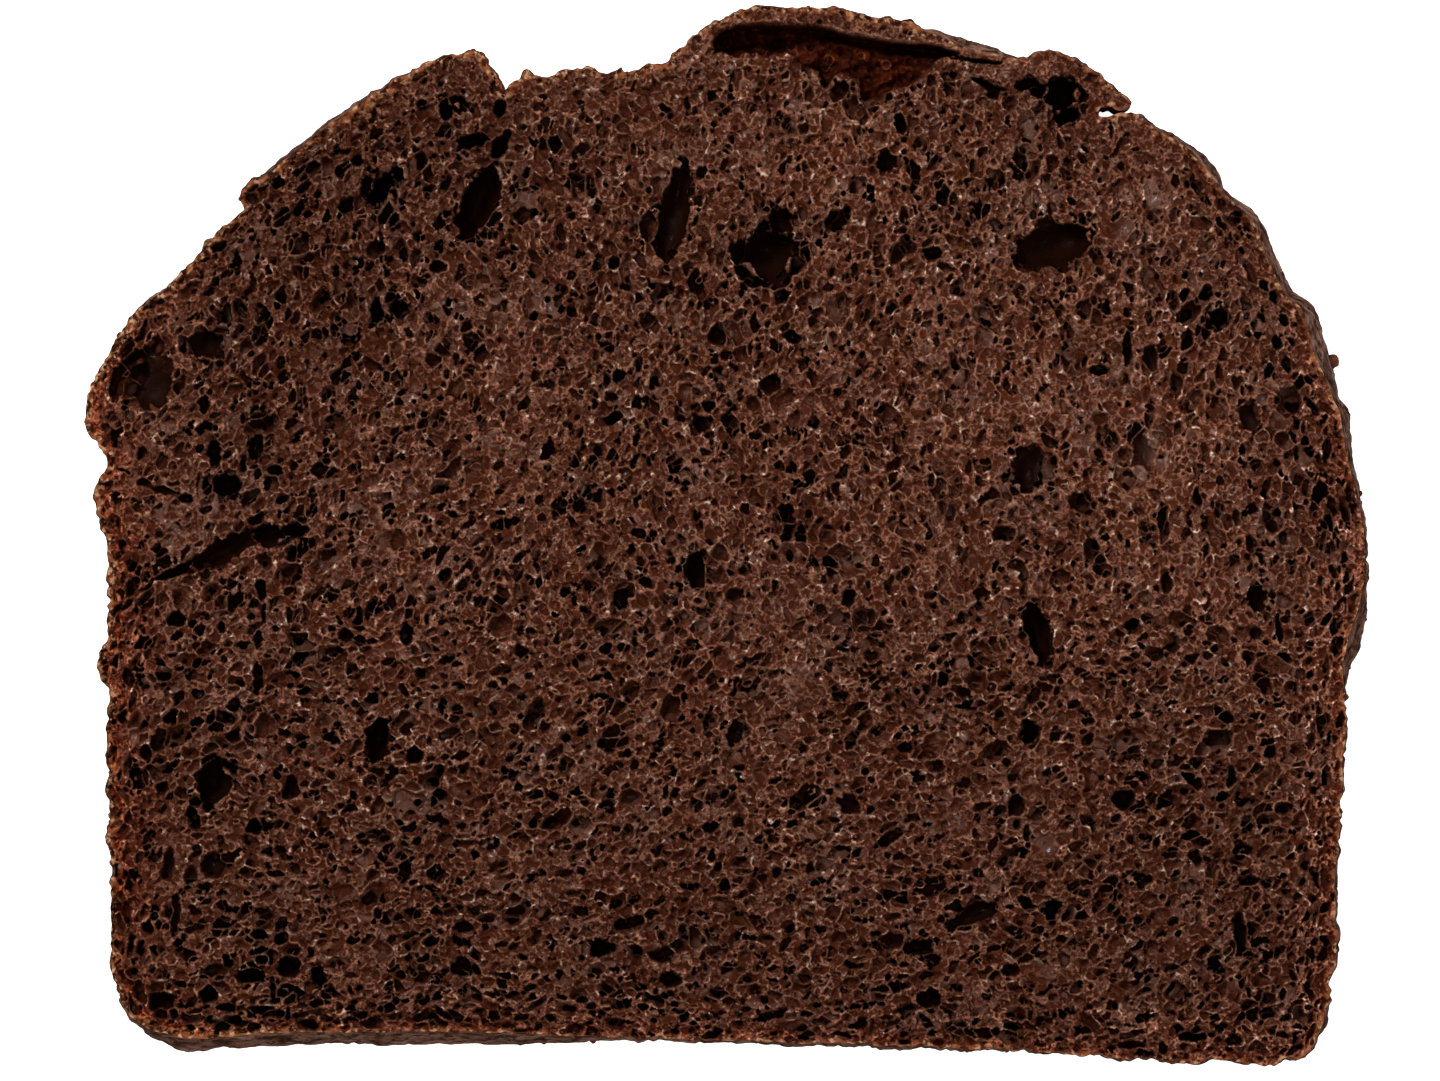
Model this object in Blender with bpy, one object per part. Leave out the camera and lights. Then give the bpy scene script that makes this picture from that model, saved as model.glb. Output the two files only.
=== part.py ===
"""A slice of dark tin-loaf bread, lying on its back cut face with the other cut face up.

The slice lies in the XY plane: +Y is the loaf's domed top, -Y its flat base, and +Z points out
of the upper cut face. All sizes below are millimetres and are turned into metres when points
are made. The slice is one solid: a lofted outline whose crust bulges past the upper cut face,
with the larger holes of the crumb and the hollow under the lifted top crust cut into it.
"""

import math

import bmesh
import bpy
import numpy as np
from mathutils import Vector, noise

MM = 0.001
NAME = "bread_slice"

WIDTH = 125.0  # across the widest part of the loaf
THICKNESS = 13.0  # of the slice
BACK_ROUNDING = 0.35  # how far the back face's edge turns in
STATION_STEP = 1.5  # longest straight stretch along the outline
HEM_BULGE = 0.28  # how far the crust's lumps stand out
LUMP_LENGTH = 5.0  # of one lump of crust, along the outline
SEED_SHIFT = Vector((3.7, 11.3, 5.9))  # picks one stretch of the noise

# The outline, clockwise from the left shoulder. Each station is x, y and how far the crust behind
# stands out past the upper cut face there.
SHOULDER_LEFT = (
    (-62.5, 12.6, 0.0),
    (-61.1, 16.2, 0.2),
    (-58.0, 21.1, 0.4),
    (-53.5, 25.3, 0.7),
    (-49.5, 29.6, 0.7),
    (-47.0, 31.4, 0.0),
)
BURST_LIP = (
    (-47.8, 32.7, 0.0),
    (-46.8, 34.1, 0.2),
    (-43.9, 36.3, 0.5),
    (-39.1, 40.2, 0.4),
    (-34.2, 43.4, 0.3),
    (-30.0, 45.6, 0.2),
    (-25.1, 47.2, 0.0),
)
TORN_MIDDLE = (
    (-22.9, 45.6, 0.0),
    (-21.9, 43.6, 0.0),
    (-19.6, 44.8, 0.0),
    (-15.9, 45.2, 0.0),
    (-10.6, 45.4, 0.0),
    (-6.1, 45.7, 0.0),
)
LIFTED_CRUST = (
    (-5.1, 47.2, 0.0),
    (-2.4, 49.3, 0.2),
    (2.2, 51.2, 0.0),
    (5.7, 51.4, 0.0),
    (11.0, 51.2, 0.0),
    (14.9, 50.4, 0.2),
    (21.1, 48.9, 0.3),
    (28.6, 46.6, 0.0),
    (31.1, 47.1, 0.0),
    (34.8, 45.6, 0.0),
    (39.3, 42.0, 0.0),
)
SLIT_UNDER_TIP = (
    (38.5, 41.5, 0.0),
    (36.4, 41.6, 0.0),
    (36.3, 40.8, 0.0),
    (38.6, 41.0, 0.0),
)
SHOULDER_RIGHT = (
    (40.2, 40.9, 0.2),
    (41.9, 39.7, 0.4),
    (45.5, 37.8, 0.6),
    (47.9, 35.4, 1.0),
    (48.4, 33.9, 0.7),
    (51.7, 30.9, 0.8),
    (53.6, 27.4, 1.2),
    (55.2, 23.4, 0.6),
    (57.9, 20.2, 1.2),
    (58.4, 18.2, 1.0),
    (59.4, 13.4, 0.7),
    (60.3, 12.7, 0.7),
    (61.0, 7.3, 0.7),
    (62.3, 1.6, 0.5),
    (62.5, -4.0, 0.4),
    (61.7, -10.8, 1.4),
    (60.7, -13.0, 0.8),
)
WALL_RIGHT = (
    (60.4, -15.4, 0.2),
    (60.1, -24.5, 0.1),
    (59.5, -34.5, 0.3),
    (59.7, -41.2, 0.4),
    (58.9, -43.6, 0.2),
    (58.9, -46.2, 0.7),
    (57.7, -49.5, 0.6),
    (55.5, -51.4, 0.6),
    (54.3, -51.2, 0.2),
)
BASE = (
    (52.9, -51.6, 0.0),
    (44.1, -51.4, 0.1),
    (34.4, -50.8, 0.1),
    (26.9, -50.3, 0.2),
    (12.9, -50.0, 0.4),
    (-10.4, -49.4, 0.4),
    (-16.3, -49.7, 1.0),
    (-27.9, -49.6, 1.3),
    (-37.2, -49.8, 1.4),
    (-48.9, -50.0, 1.1),
    (-51.8, -50.3, 1.1),
    (-55.7, -49.3, 0.7),
    (-57.9, -47.8, 0.2),
)
WALL_LEFT = (
    (-59.3, -45.3, 0.0),
    (-60.0, -41.4, 0.0),
    (-60.2, -30.8, 0.0),
    (-60.4, -17.9, 0.0),
    (-60.2, -15.1, 0.0),
    (-61.1, -14.0, 0.0),
    (-61.1, -11.0, 0.0),
    (-60.3, -8.3, 0.0),
    (-60.4, -1.0, 0.0),
    (-61.7, 3.5, 0.0),
    (-61.2, 5.2, 0.0),
    (-60.4, 6.6, 0.0),
    (-62.3, 10.4, 0.0),
)
OUTLINE = (
    SHOULDER_LEFT
    + BURST_LIP
    + TORN_MIDDLE
    + LIFTED_CRUST
    + SLIT_UNDER_TIP
    + SHOULDER_RIGHT
    + WALL_RIGHT
    + BASE
    + WALL_LEFT
)

# The crust's profile from the upper cut face to the back face: share of the thickness, share of
# the crust's stand-out still missing there, and share of the lumps.
PROFILE = (
    (1.00, 1.00, 0.0),
    (0.86, 0.30, 0.4),
    (0.55, 0.00, 1.0),
    (0.22, 0.05, 0.8),
    (0.00, 0.30, 0.0),
)

# The larger holes of the crumb: x, y, width, height, tilt in degrees and depth.
HOLES = (
    (-5.2, 31.4, 2.6, 10.4, -11, 3.0),
    (4.0, 27.0, 5.4, 5.4, 0, 4.5),
    (5.2, 30.4, 2.6, 3.4, 10, 3.0),
    (31.9, 28.1, 7.9, 4.3, 17, 4.5),
    (32.6, 42.6, 3.8, 4.1, 0, 6.0),
    (-34.0, 33.4, 3.0, 3.5, 25, 4.5),
    (-22.1, 38.4, 1.7, 3.6, 8, 3.5),
    (-24.2, 32.1, 3.4, 6.9, -24, 4.0),
    (-56.6, 14.8, 5.2, 7.6, -8, 3.5),
    (-51.1, 18.4, 3.9, 3.3, 0, 3.5),
    (-34.1, 21.6, 1.5, 2.4, 0, 3.0),
    (-31.9, 22.1, 2.1, 2.0, 0, 3.0),
    (-49.1, -1.5, 9.6, 1.9, 23, 3.5),
    (-43.5, 0.0, 5.3, 1.9, 6, 3.0),
    (-48.7, 4.7, 3.3, 2.4, 15, 2.5),
    (-45.9, 8.4, 1.8, 2.8, 0, 2.5),
    (-50.0, 8.0, 1.3, 3.0, 0, 2.5),
    (-50.0, -24.1, 3.6, 4.6, -12, 4.0),
    (-34.1, -20.1, 2.4, 5.0, -14, 4.0),
    (-31.0, -25.9, 3.9, 2.0, 0, 2.0),
    (-17.0, 23.2, 2.3, 3.7, 0, 2.0),
    (-3.0, -3.5, 2.4, 3.8, 0, 4.5),
    (15.7, 36.3, 2.7, 2.4, 0, 3.5),
    (40.4, 7.7, 2.4, 5.2, 0, 1.6),
    (29.3, 6.3, 3.8, 4.8, -10, 3.0),
    (57.7, 4.2, 2.0, 2.9, -15, 2.5),
    (51.6, -6.3, 2.0, 3.3, 0, 4.0),
    (30.2, -9.4, 2.6, 6.4, 14, 4.5),
    (23.9, -37.1, 5.8, 2.2, 22, 2.5),
    (18.7, -40.1, 3.5, 1.8, 0, 2.5),
    (-12.4, -40.3, 2.5, 1.9, 0, 3.5),
    (50.8, 11.5, 2.2, 3.4, 0, 2.5),
    (29.5, -19.5, 1.9, 2.4, 0, 3.5),
    (-36.8, 19.8, 2.1, 2.1, 0, 2.5),
    (-57.4, -23.8, 1.6, 2.3, 0, 2.5),
    (34.3, 9.1, 2.6, 3.9, 0, 1.4),
    (31.5, -36.6, 1.9, 2.3, 0, 3.0),
    (23.5, -16.6, 2.9, 1.2, 0, 2.5),
    (-2.3, 10.8, 2.3, 1.9, 0, 2.5),
    (-19.7, 32.0, 2.4, 3.4, 0, 1.2),
    (29.4, 43.8, 2.9, 1.4, 0, 3.0),
    (-55.9, 4.9, 8.8, 0.9, -20, 2.0),
)
HOLE_SEGMENTS = 12
HOLE_RINGS = 8

# The hollow under the lifted crust: its edge clockwise from the left end, its depth, and the
# share of its size that is left at the bottom.
POCKET_EDGE = (
    (-1.7, 47.8),
    (-0.3, 49.2),
    (2.4, 49.8),
    (7.1, 49.7),
    (11.4, 49.0),
    (15.9, 48.2),
    (20.8, 47.8),
    (20.4, 45.9),
    (17.4, 43.5),
    (13.2, 42.6),
    (9.8, 44.2),
    (5.5, 46.4),
    (-0.3, 46.8),
)
POCKET_DEPTH = 9.0
POCKET_FLOOR = 0.72
CUTTER_CLEAR = 1.0  # how far a cutter stands out of the upper cut face

CRUMB_COLOUR = (0.071, 0.028, 0.017, 1.0)
CRUMB_ROUGHNESS = 0.62


def clear_scene():
    for obj in list(bpy.data.objects):
        bpy.data.objects.remove(obj)


def spline_point(before, start, end, after, share):
    """A point on the centripetal Catmull-Rom curve from start to end."""
    knots = [0.0]
    for a, b in ((before, start), (start, end), (end, after)):
        knots.append(knots[-1] + max((b - a).length, 1e-6) ** 0.5)
    t = knots[1] + share * (knots[2] - knots[1])

    def blend(a, b, low, high):
        return a * ((high - t) / (high - low)) + b * ((t - low) / (high - low))

    first = blend(before, start, knots[0], knots[1])
    middle = blend(start, end, knots[1], knots[2])
    last = blend(end, after, knots[2], knots[3])
    left = blend(first, middle, knots[0], knots[2])
    right = blend(middle, last, knots[1], knots[3])
    return blend(left, right, knots[1], knots[2])


def smooth_loop(stations, step):
    """A closed curve through the stations, with a point at least every step."""
    stations = [Vector(station) for station in stations]
    count = len(stations)
    points = []
    for i, start in enumerate(stations):
        end = stations[(i + 1) % count]
        pieces = max(1, math.ceil((end - start).to_2d().length / step))
        for k in range(pieces):
            before = stations[i - 1]
            after = stations[(i + 2) % count]
            points.append(spline_point(before, start, end, after, k / pieces))
    return np.array(points)


def outward(points):
    """Unit vectors that point out of a clockwise loop, at each of its points."""
    along = np.roll(points[:, :2], -1, axis=0) - np.roll(points[:, :2], 1, axis=0)
    out = np.stack([-along[:, 1], along[:, 0]], axis=1)
    return out / np.linalg.norm(out, axis=1, keepdims=True)


def lump(x, y, z):
    """How far the crust stands out or in at a place, from -1 to 1."""
    return noise.noise(Vector((x, y, z)) / LUMP_LENGTH + SEED_SHIFT)


def section(loop, out, share, missing, lumps):
    """The loop's points at one height of the slice."""
    z = THICKNESS * share
    crust = loop[:, 2]
    inset = crust * missing
    if share == 0.0:
        inset = inset + BACK_ROUNDING
    rough = np.array([lump(x, y, z) for x, y in loop[:, :2]])
    inset = inset - HEM_BULGE * lumps * rough * np.clip(crust / 0.5, 0.3, 1.0)
    flat = loop[:, :2] - out * inset[:, None]
    return np.column_stack([flat, np.full(len(loop), z)])


def loft(sections):
    """A closed mesh through sections that run from the top down."""
    made = bmesh.new()
    rings = [[made.verts.new(point * MM) for point in ring] for ring in sections]
    count = len(rings[0])
    for upper, lower in zip(rings, rings[1:]):
        for i in range(count):
            j = (i + 1) % count
            made.faces.new((upper[i], upper[j], lower[j], lower[i]))
    caps = [made.faces.new(rings[0][::-1]), made.faces.new(rings[-1])]
    bmesh.ops.triangulate(made, faces=caps, ngon_method="BEAUTY")
    bmesh.ops.recalc_face_normals(made, faces=made.faces)
    return made


def to_object(made, name, collection):
    mesh = bpy.data.meshes.new(name)
    made.to_mesh(mesh)
    made.free()
    obj = bpy.data.objects.new(name, mesh)
    collection.objects.link(obj)
    return obj


def scaled_outline():
    """The outline's points, sized to WIDTH and centred on the origin."""
    loop = smooth_loop(OUTLINE, STATION_STEP)
    low, high = loop[:, :2].min(axis=0), loop[:, :2].max(axis=0)
    loop[:, :2] -= (low + high) / 2
    loop[:, :2] *= WIDTH / (high[0] - low[0])
    return loop, (low + high) / 2


def add_slice(collection):
    loop, middle = scaled_outline()
    out = outward(loop)
    sections = [section(loop, out, *level) for level in PROFILE]
    return to_object(loft(sections), NAME, collection), middle


def add_cutter(made, name, collection):
    obj = to_object(made, name, collection)
    obj.hide_render = True
    obj.display_type = "WIRE"
    return obj


def add_hole(number, hole, middle, collection):
    """An ellipsoid whose middle is level with the upper cut face."""
    x, y, width, height, tilt, depth = hole
    made = bmesh.new()
    bmesh.ops.create_uvsphere(made, u_segments=HOLE_SEGMENTS, v_segments=HOLE_RINGS, radius=MM)
    bmesh.ops.scale(made, vec=(width / 2, height / 2, depth), verts=made.verts)
    obj = add_cutter(made, f"hole_{number:02d}", collection)
    obj.location = Vector((x - middle[0], y - middle[1], THICKNESS)) * MM
    obj.rotation_euler = (0.0, 0.0, math.radians(tilt))


def add_pocket(middle, collection):
    """The hollow under the lifted crust, narrower at its bottom."""
    edge = smooth_loop([(x, y, 0.0) for x, y in POCKET_EDGE], STATION_STEP)[:, :2] - middle
    centre = edge.mean(axis=0)
    floor = centre + (edge - centre) * POCKET_FLOOR
    heights = (THICKNESS + CUTTER_CLEAR, THICKNESS - 0.5 * POCKET_DEPTH, THICKNESS - POCKET_DEPTH)
    rings = (edge, edge, floor)
    sections = [
        np.column_stack([ring, np.full(len(ring), z)]) for ring, z in zip(rings, heights)
    ]
    add_cutter(loft(sections), "pocket", collection)


def crumb_material():
    material = bpy.data.materials.new("crumb")
    material.use_nodes = True
    shader = material.node_tree.nodes["Principled BSDF"]
    shader.inputs["Base Color"].default_value = CRUMB_COLOUR
    shader.inputs["Roughness"].default_value = CRUMB_ROUGHNESS
    shader.inputs["Metallic"].default_value = 0.0
    return material


def new_collection(name):
    collection = bpy.data.collections.new(name)
    bpy.context.scene.collection.children.link(collection)
    return collection


def main():
    clear_scene()
    parts = new_collection("dark bread slice")
    cutters = new_collection("cutters")
    bread, middle = add_slice(parts)
    for number, hole in enumerate(HOLES):
        add_hole(number, hole, middle, cutters)
    add_pocket(middle, cutters)
    cut = bread.modifiers.new("holes", "BOOLEAN")
    cut.operation = "DIFFERENCE"
    cut.operand_type = "COLLECTION"
    cut.collection = cutters
    cut.solver = "EXACT"
    bread.data.materials.append(crumb_material())
    bread.data.shade_smooth()
    bread.data.set_sharp_from_angle(angle=math.radians(35))


main()
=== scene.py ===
"""A slice of dark tin-loaf bread, lying on its back cut face with the other cut face up.

The crumb is made the way it grows: bubbles of several sizes press on each other, the knife opens
the ones it meets, and each opened bubble is a cup with thin walls whose torn edges stand up. The
crust runs round it from one cut face to the other. Lengths in the tables are millimetres, and
meshes are made in metres.
"""

import math
from concurrent.futures import ThreadPoolExecutor

import bpy
import numpy as np
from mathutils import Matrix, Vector, noise


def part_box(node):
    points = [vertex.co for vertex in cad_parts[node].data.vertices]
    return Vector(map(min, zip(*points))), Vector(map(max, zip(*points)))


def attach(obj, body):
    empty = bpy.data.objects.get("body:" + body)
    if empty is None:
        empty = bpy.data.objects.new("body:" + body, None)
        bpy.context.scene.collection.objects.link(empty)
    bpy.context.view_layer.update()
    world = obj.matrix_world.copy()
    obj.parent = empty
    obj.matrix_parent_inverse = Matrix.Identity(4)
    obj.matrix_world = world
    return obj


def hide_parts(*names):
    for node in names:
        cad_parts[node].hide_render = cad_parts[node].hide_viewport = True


bl_info = {
    "name": "Dark bread slice",
    "version": (1, 0, 0),
    "blender": (4, 5, 0),
    "location": "3D View > Sidebar > Bread",
    "description": "Makes a slice of dark tin-loaf bread with an open crumb and a lifted top crust",
    "category": "Add Mesh",
}

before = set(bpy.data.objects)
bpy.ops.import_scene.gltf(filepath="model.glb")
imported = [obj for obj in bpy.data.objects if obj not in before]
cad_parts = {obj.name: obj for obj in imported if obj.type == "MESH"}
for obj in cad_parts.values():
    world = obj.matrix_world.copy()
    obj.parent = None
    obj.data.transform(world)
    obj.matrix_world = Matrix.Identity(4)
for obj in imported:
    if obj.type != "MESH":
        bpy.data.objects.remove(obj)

NODE = "bread_slice"
BODY = "root"
MM = 0.001
LOW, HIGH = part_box(NODE)
WIDTH = (HIGH[0] - LOW[0]) / MM
THICKNESS = (HIGH[2] - LOW[2]) / MM

# The outline, clockwise from the left shoulder. Each station is x, y and how far the crust behind
# stands out past the upper cut face there.
SHOULDER_LEFT = (
    (-62.5, 12.6, 0.0), (-61.1, 16.2, 0.0), (-58.0, 21.1, 0.1), (-53.5, 25.3, 0.1),
    (-49.5, 29.6, 0.1), (-47.7, 31.0, 0.0), (-47.0, 31.6, 0.0),
)
BURST_LIP = (
    (-47.2, 32.4, 0.0), (-47.9, 32.7, 0.0), (-47.3, 33.3, 0.0), (-46.4, 34.5, 0.2),
    (-43.9, 36.3, 0.5), (-39.1, 40.2, 0.4), (-34.2, 43.4, 0.3), (-30.0, 45.6, 0.2),
    (-28.2, 46.4, 0.0), (-26.5, 46.7, 0.0), (-25.1, 47.3, 0.0),
)
TORN_MIDDLE = (
    (-24.0, 46.6, 0.0), (-23.4, 45.8, 0.0), (-22.5, 45.0, 0.0), (-21.8, 43.4, 0.0),
    (-21.2, 44.0, 0.0), (-20.4, 44.3, 0.0), (-19.6, 45.1, 0.0), (-18.9, 44.7, 0.0),
    (-17.4, 44.4, 0.0), (-16.2, 45.2, 0.0), (-14.4, 45.1, 0.0), (-13.3, 45.4, 0.0),
    (-12.1, 44.9, 0.0), (-10.9, 45.1, 0.0), (-10.3, 45.6, 0.0), (-9.8, 45.1, 0.0),
    (-8.1, 45.5, 0.0), (-7.0, 45.8, 0.0), (-6.3, 45.6, 0.0),
)
LIFTED_CRUST = (
    (-5.4, 46.4, 0.0), (-5.3, 47.0, 0.0), (-4.5, 47.5, 0.0), (-2.4, 49.3, 0.2), (2.2, 51.2, 0.0),
    (5.7, 51.4, 0.0), (11.0, 51.2, 0.0), (14.9, 50.4, 0.0), (18.5, 49.7, 0.1), (21.1, 48.9, 0.6),
    (25.4, 47.6, 0.8), (28.6, 46.6, 0.2), (31.1, 47.1, 0.0), (34.8, 45.6, 0.0), (39.3, 42.0, 0.0),
)
SLIT_UNDER_TIP = (
    (38.5, 41.5, 0.0), (36.4, 41.6, 0.0), (36.3, 40.8, 0.0), (38.6, 41.0, 0.0),
)
SHOULDER_RIGHT = (
    (40.2, 40.9, 0.2), (41.9, 39.7, 0.4), (45.5, 37.8, 0.6), (47.9, 35.4, 1.0), (48.4, 33.9, 0.7),
    (51.7, 30.9, 0.8), (53.6, 27.4, 1.2), (55.2, 23.6, 0.9), (56.3, 22.9, 1.0), (57.4, 21.7, 1.4),
    (57.9, 20.2, 1.5), (58.6, 18.0, 1.5), (59.2, 15.6, 1.1), (59.6, 13.4, 0.7), (60.4, 12.3, 0.9),
    (60.7, 10.9, 1.0), (61.1, 7.3, 0.7), (62.3, 1.6, 0.5), (62.5, -4.0, 0.4), (61.7, -10.8, 1.4),
    (60.7, -13.0, 0.8),
)
WALL_RIGHT = (
    (60.4, -15.4, 0.2), (60.1, -24.5, 0.1), (59.5, -34.5, 0.3), (59.7, -41.2, 0.4),
    (59.0, -43.6, 0.2), (58.9, -45.8, 0.25), (58.5, -46.9, 0.4), (58.4, -47.8, 0.5),
    (57.5, -49.0, 0.3), (57.3, -50.1, 0.35), (55.6, -51.3, 0.2), (54.8, -51.1, 0.0),
)
BASE = (
    (53.0, -51.6, 0.0), (50.7, -51.4, 0.0), (44.1, -51.4, 0.1), (34.4, -50.8, 0.1),
    (26.9, -50.3, 0.2), (12.9, -50.0, 0.4), (-10.4, -49.4, 0.4), (-16.3, -49.7, 1.0),
    (-27.9, -49.6, 1.3), (-37.8, -49.6, 1.2), (-43.0, -49.7, 1.3), (-46.6, -50.0, 1.4),
    (-49.0, -50.0, 1.1), (-51.7, -50.4, 1.4), (-53.1, -50.3, 1.4), (-56.1, -49.1, 0.9),
    (-57.3, -48.1, 0.5), (-57.9, -47.6, 0.5), (-58.6, -46.9, 0.4),
)
WALL_LEFT = (
    (-59.4, -44.4, 0.2), (-60.1, -41.6, 0.0), (-59.9, -38.6, 0.0), (-60.2, -30.8, 0.0),
    (-60.4, -17.9, 0.0), (-60.2, -15.1, 0.0), (-61.1, -14.0, 0.0), (-61.1, -10.9, 0.0),
    (-60.4, -10.4, 0.0), (-60.3, -8.3, 0.0), (-60.4, -1.0, 0.0), (-61.7, 3.5, 0.0),
    (-61.2, 5.2, 0.0), (-60.4, 6.6, 0.0), (-62.3, 10.4, 0.0),
)
OUTLINE = (
    SHOULDER_LEFT
    + BURST_LIP
    + TORN_MIDDLE
    + LIFTED_CRUST
    + SLIT_UNDER_TIP
    + SHOULDER_RIGHT
    + WALL_RIGHT
    + BASE
    + WALL_LEFT
)


# The larger holes of the crumb: x, y, width, height, tilt in degrees and depth.
HOLES = (
    (-5.2, 31.4, 3.0, 10.4, -11, 3.0), (4.0, 27.0, 5.4, 5.4, 0, 4.5),
    (5.2, 30.4, 2.6, 3.4, 10, 3.0), (31.9, 28.1, 7.9, 4.3, 17, 4.5), (32.6, 42.9, 4.0, 3.4, 0, 6.0),
    (33.0, 41.0, 2.4, 2.6, 10, 6.0), (-33.7, 33.7, 2.3, 3.7, -28, 4.5),
    (-32.0, 35.0, 1.7, 1.6, 0, 4.0), (-35.2, 33.8, 1.2, 2.4, -10, 1.6),
    (-22.0, 37.9, 1.7, 3.2, -20, 3.5), (-24.8, 38.2, 3.9, 1.7, 15, 3.5),
    (-24.3, 32.2, 3.3, 8.4, -26, 4.0), (-55.9, 15.2, 4.6, 6.8, -8, 2.2),
    (-51.1, 18.4, 3.9, 3.3, 0, 3.5), (-34.1, 21.6, 1.5, 2.4, 0, 3.0),
    (-31.9, 22.1, 2.1, 2.0, 0, 3.0), (-53.9, -3.6, 4.8, 1.1, 20, 3.0),
    (-49.1, -1.6, 6.8, 2.6, 30, 3.5), (-45.9, 1.7, 2.0, 1.2, 35, 3.0),
    (-44.6, -0.1, 3.6, 2.2, 0, 3.5), (-42.1, 0.4, 2.8, 1.4, 0, 3.0),
    (-48.7, 4.7, 3.1, 2.4, 15, 4.0), (-45.9, 8.4, 1.8, 2.8, 0, 2.5), (-50.0, 8.0, 1.3, 3.0, 0, 2.5),
    (-50.0, -24.1, 3.6, 4.6, -12, 4.0), (-34.1, -20.1, 2.4, 5.0, -14, 4.0),
    (-31.0, -25.9, 3.9, 2.0, 0, 2.0), (-17.0, 23.2, 2.3, 3.7, 0, 2.0),
    (-3.0, -3.5, 2.4, 3.8, 0, 4.5), (15.7, 36.3, 2.7, 2.4, 0, 3.5), (40.4, 7.7, 2.4, 5.2, 0, 1.6),
    (29.3, 6.3, 3.8, 4.8, -10, 3.0), (57.7, 4.2, 2.0, 2.9, -15, 2.5),
    (51.6, -6.3, 2.0, 3.3, 0, 4.0), (30.2, -9.4, 2.6, 6.4, 14, 4.5),
    (23.9, -37.1, 5.8, 2.2, 22, 2.5), (18.7, -40.1, 3.5, 1.8, 0, 2.5),
    (-12.4, -40.3, 2.5, 1.9, 0, 3.5), (50.8, 11.5, 2.2, 3.4, 0, 2.5),
    (29.5, -19.5, 1.9, 2.4, 0, 3.5), (-36.8, 19.8, 2.1, 2.1, 0, 2.5),
    (-57.4, -23.8, 1.6, 2.3, 0, 2.5), (34.3, 9.1, 2.6, 3.9, 0, 1.4),
    (31.5, -36.6, 1.9, 2.3, 0, 3.0), (23.5, -16.6, 2.9, 1.2, 0, 2.5),
    (-2.3, 10.8, 2.3, 1.9, 0, 2.5), (-19.7, 32.0, 2.4, 3.4, 0, 1.2), (29.4, 43.8, 2.9, 1.4, 0, 3.0),
    (30.6, 43.3, 3.4, 1.4, 5, 4.0), (23.9, 46.2, 6.3, 0.5, -8, 3.0),
    (25.2, 43.9, 4.6, 0.6, -22, 3.0), (26.0, 43.0, 1.3, 1.2, 0, 3.0),
    (17.0, 40.1, 1.3, 2.4, 25, 3.0), (-58.4, 6.0, 2.6, 0.5, -30, 1.5),
    (-57.0, 5.1, 2.4, 1.0, -15, 2.5), (-55.0, 4.4, 3.2, 0.9, -15, 2.5),
    (-52.8, 3.5, 1.6, 1.3, 0, 3.0), (-46.4, -43.0, 3.0, 1.6, -5, 3.5),
    (-45.3, -46.3, 2.8, 0.9, -8, 3.0), (-39.6, -43.1, 1.6, 2.4, 15, 3.0),
    (47.8, 21.1, 2.1, 2.5, -15, 3.5), (-27.4, 41.3, 1.5, 2.1, 0, 3.0),
    (-57.2, 15.6, 2.2, 3.8, -8, 3.6),
)

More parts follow.
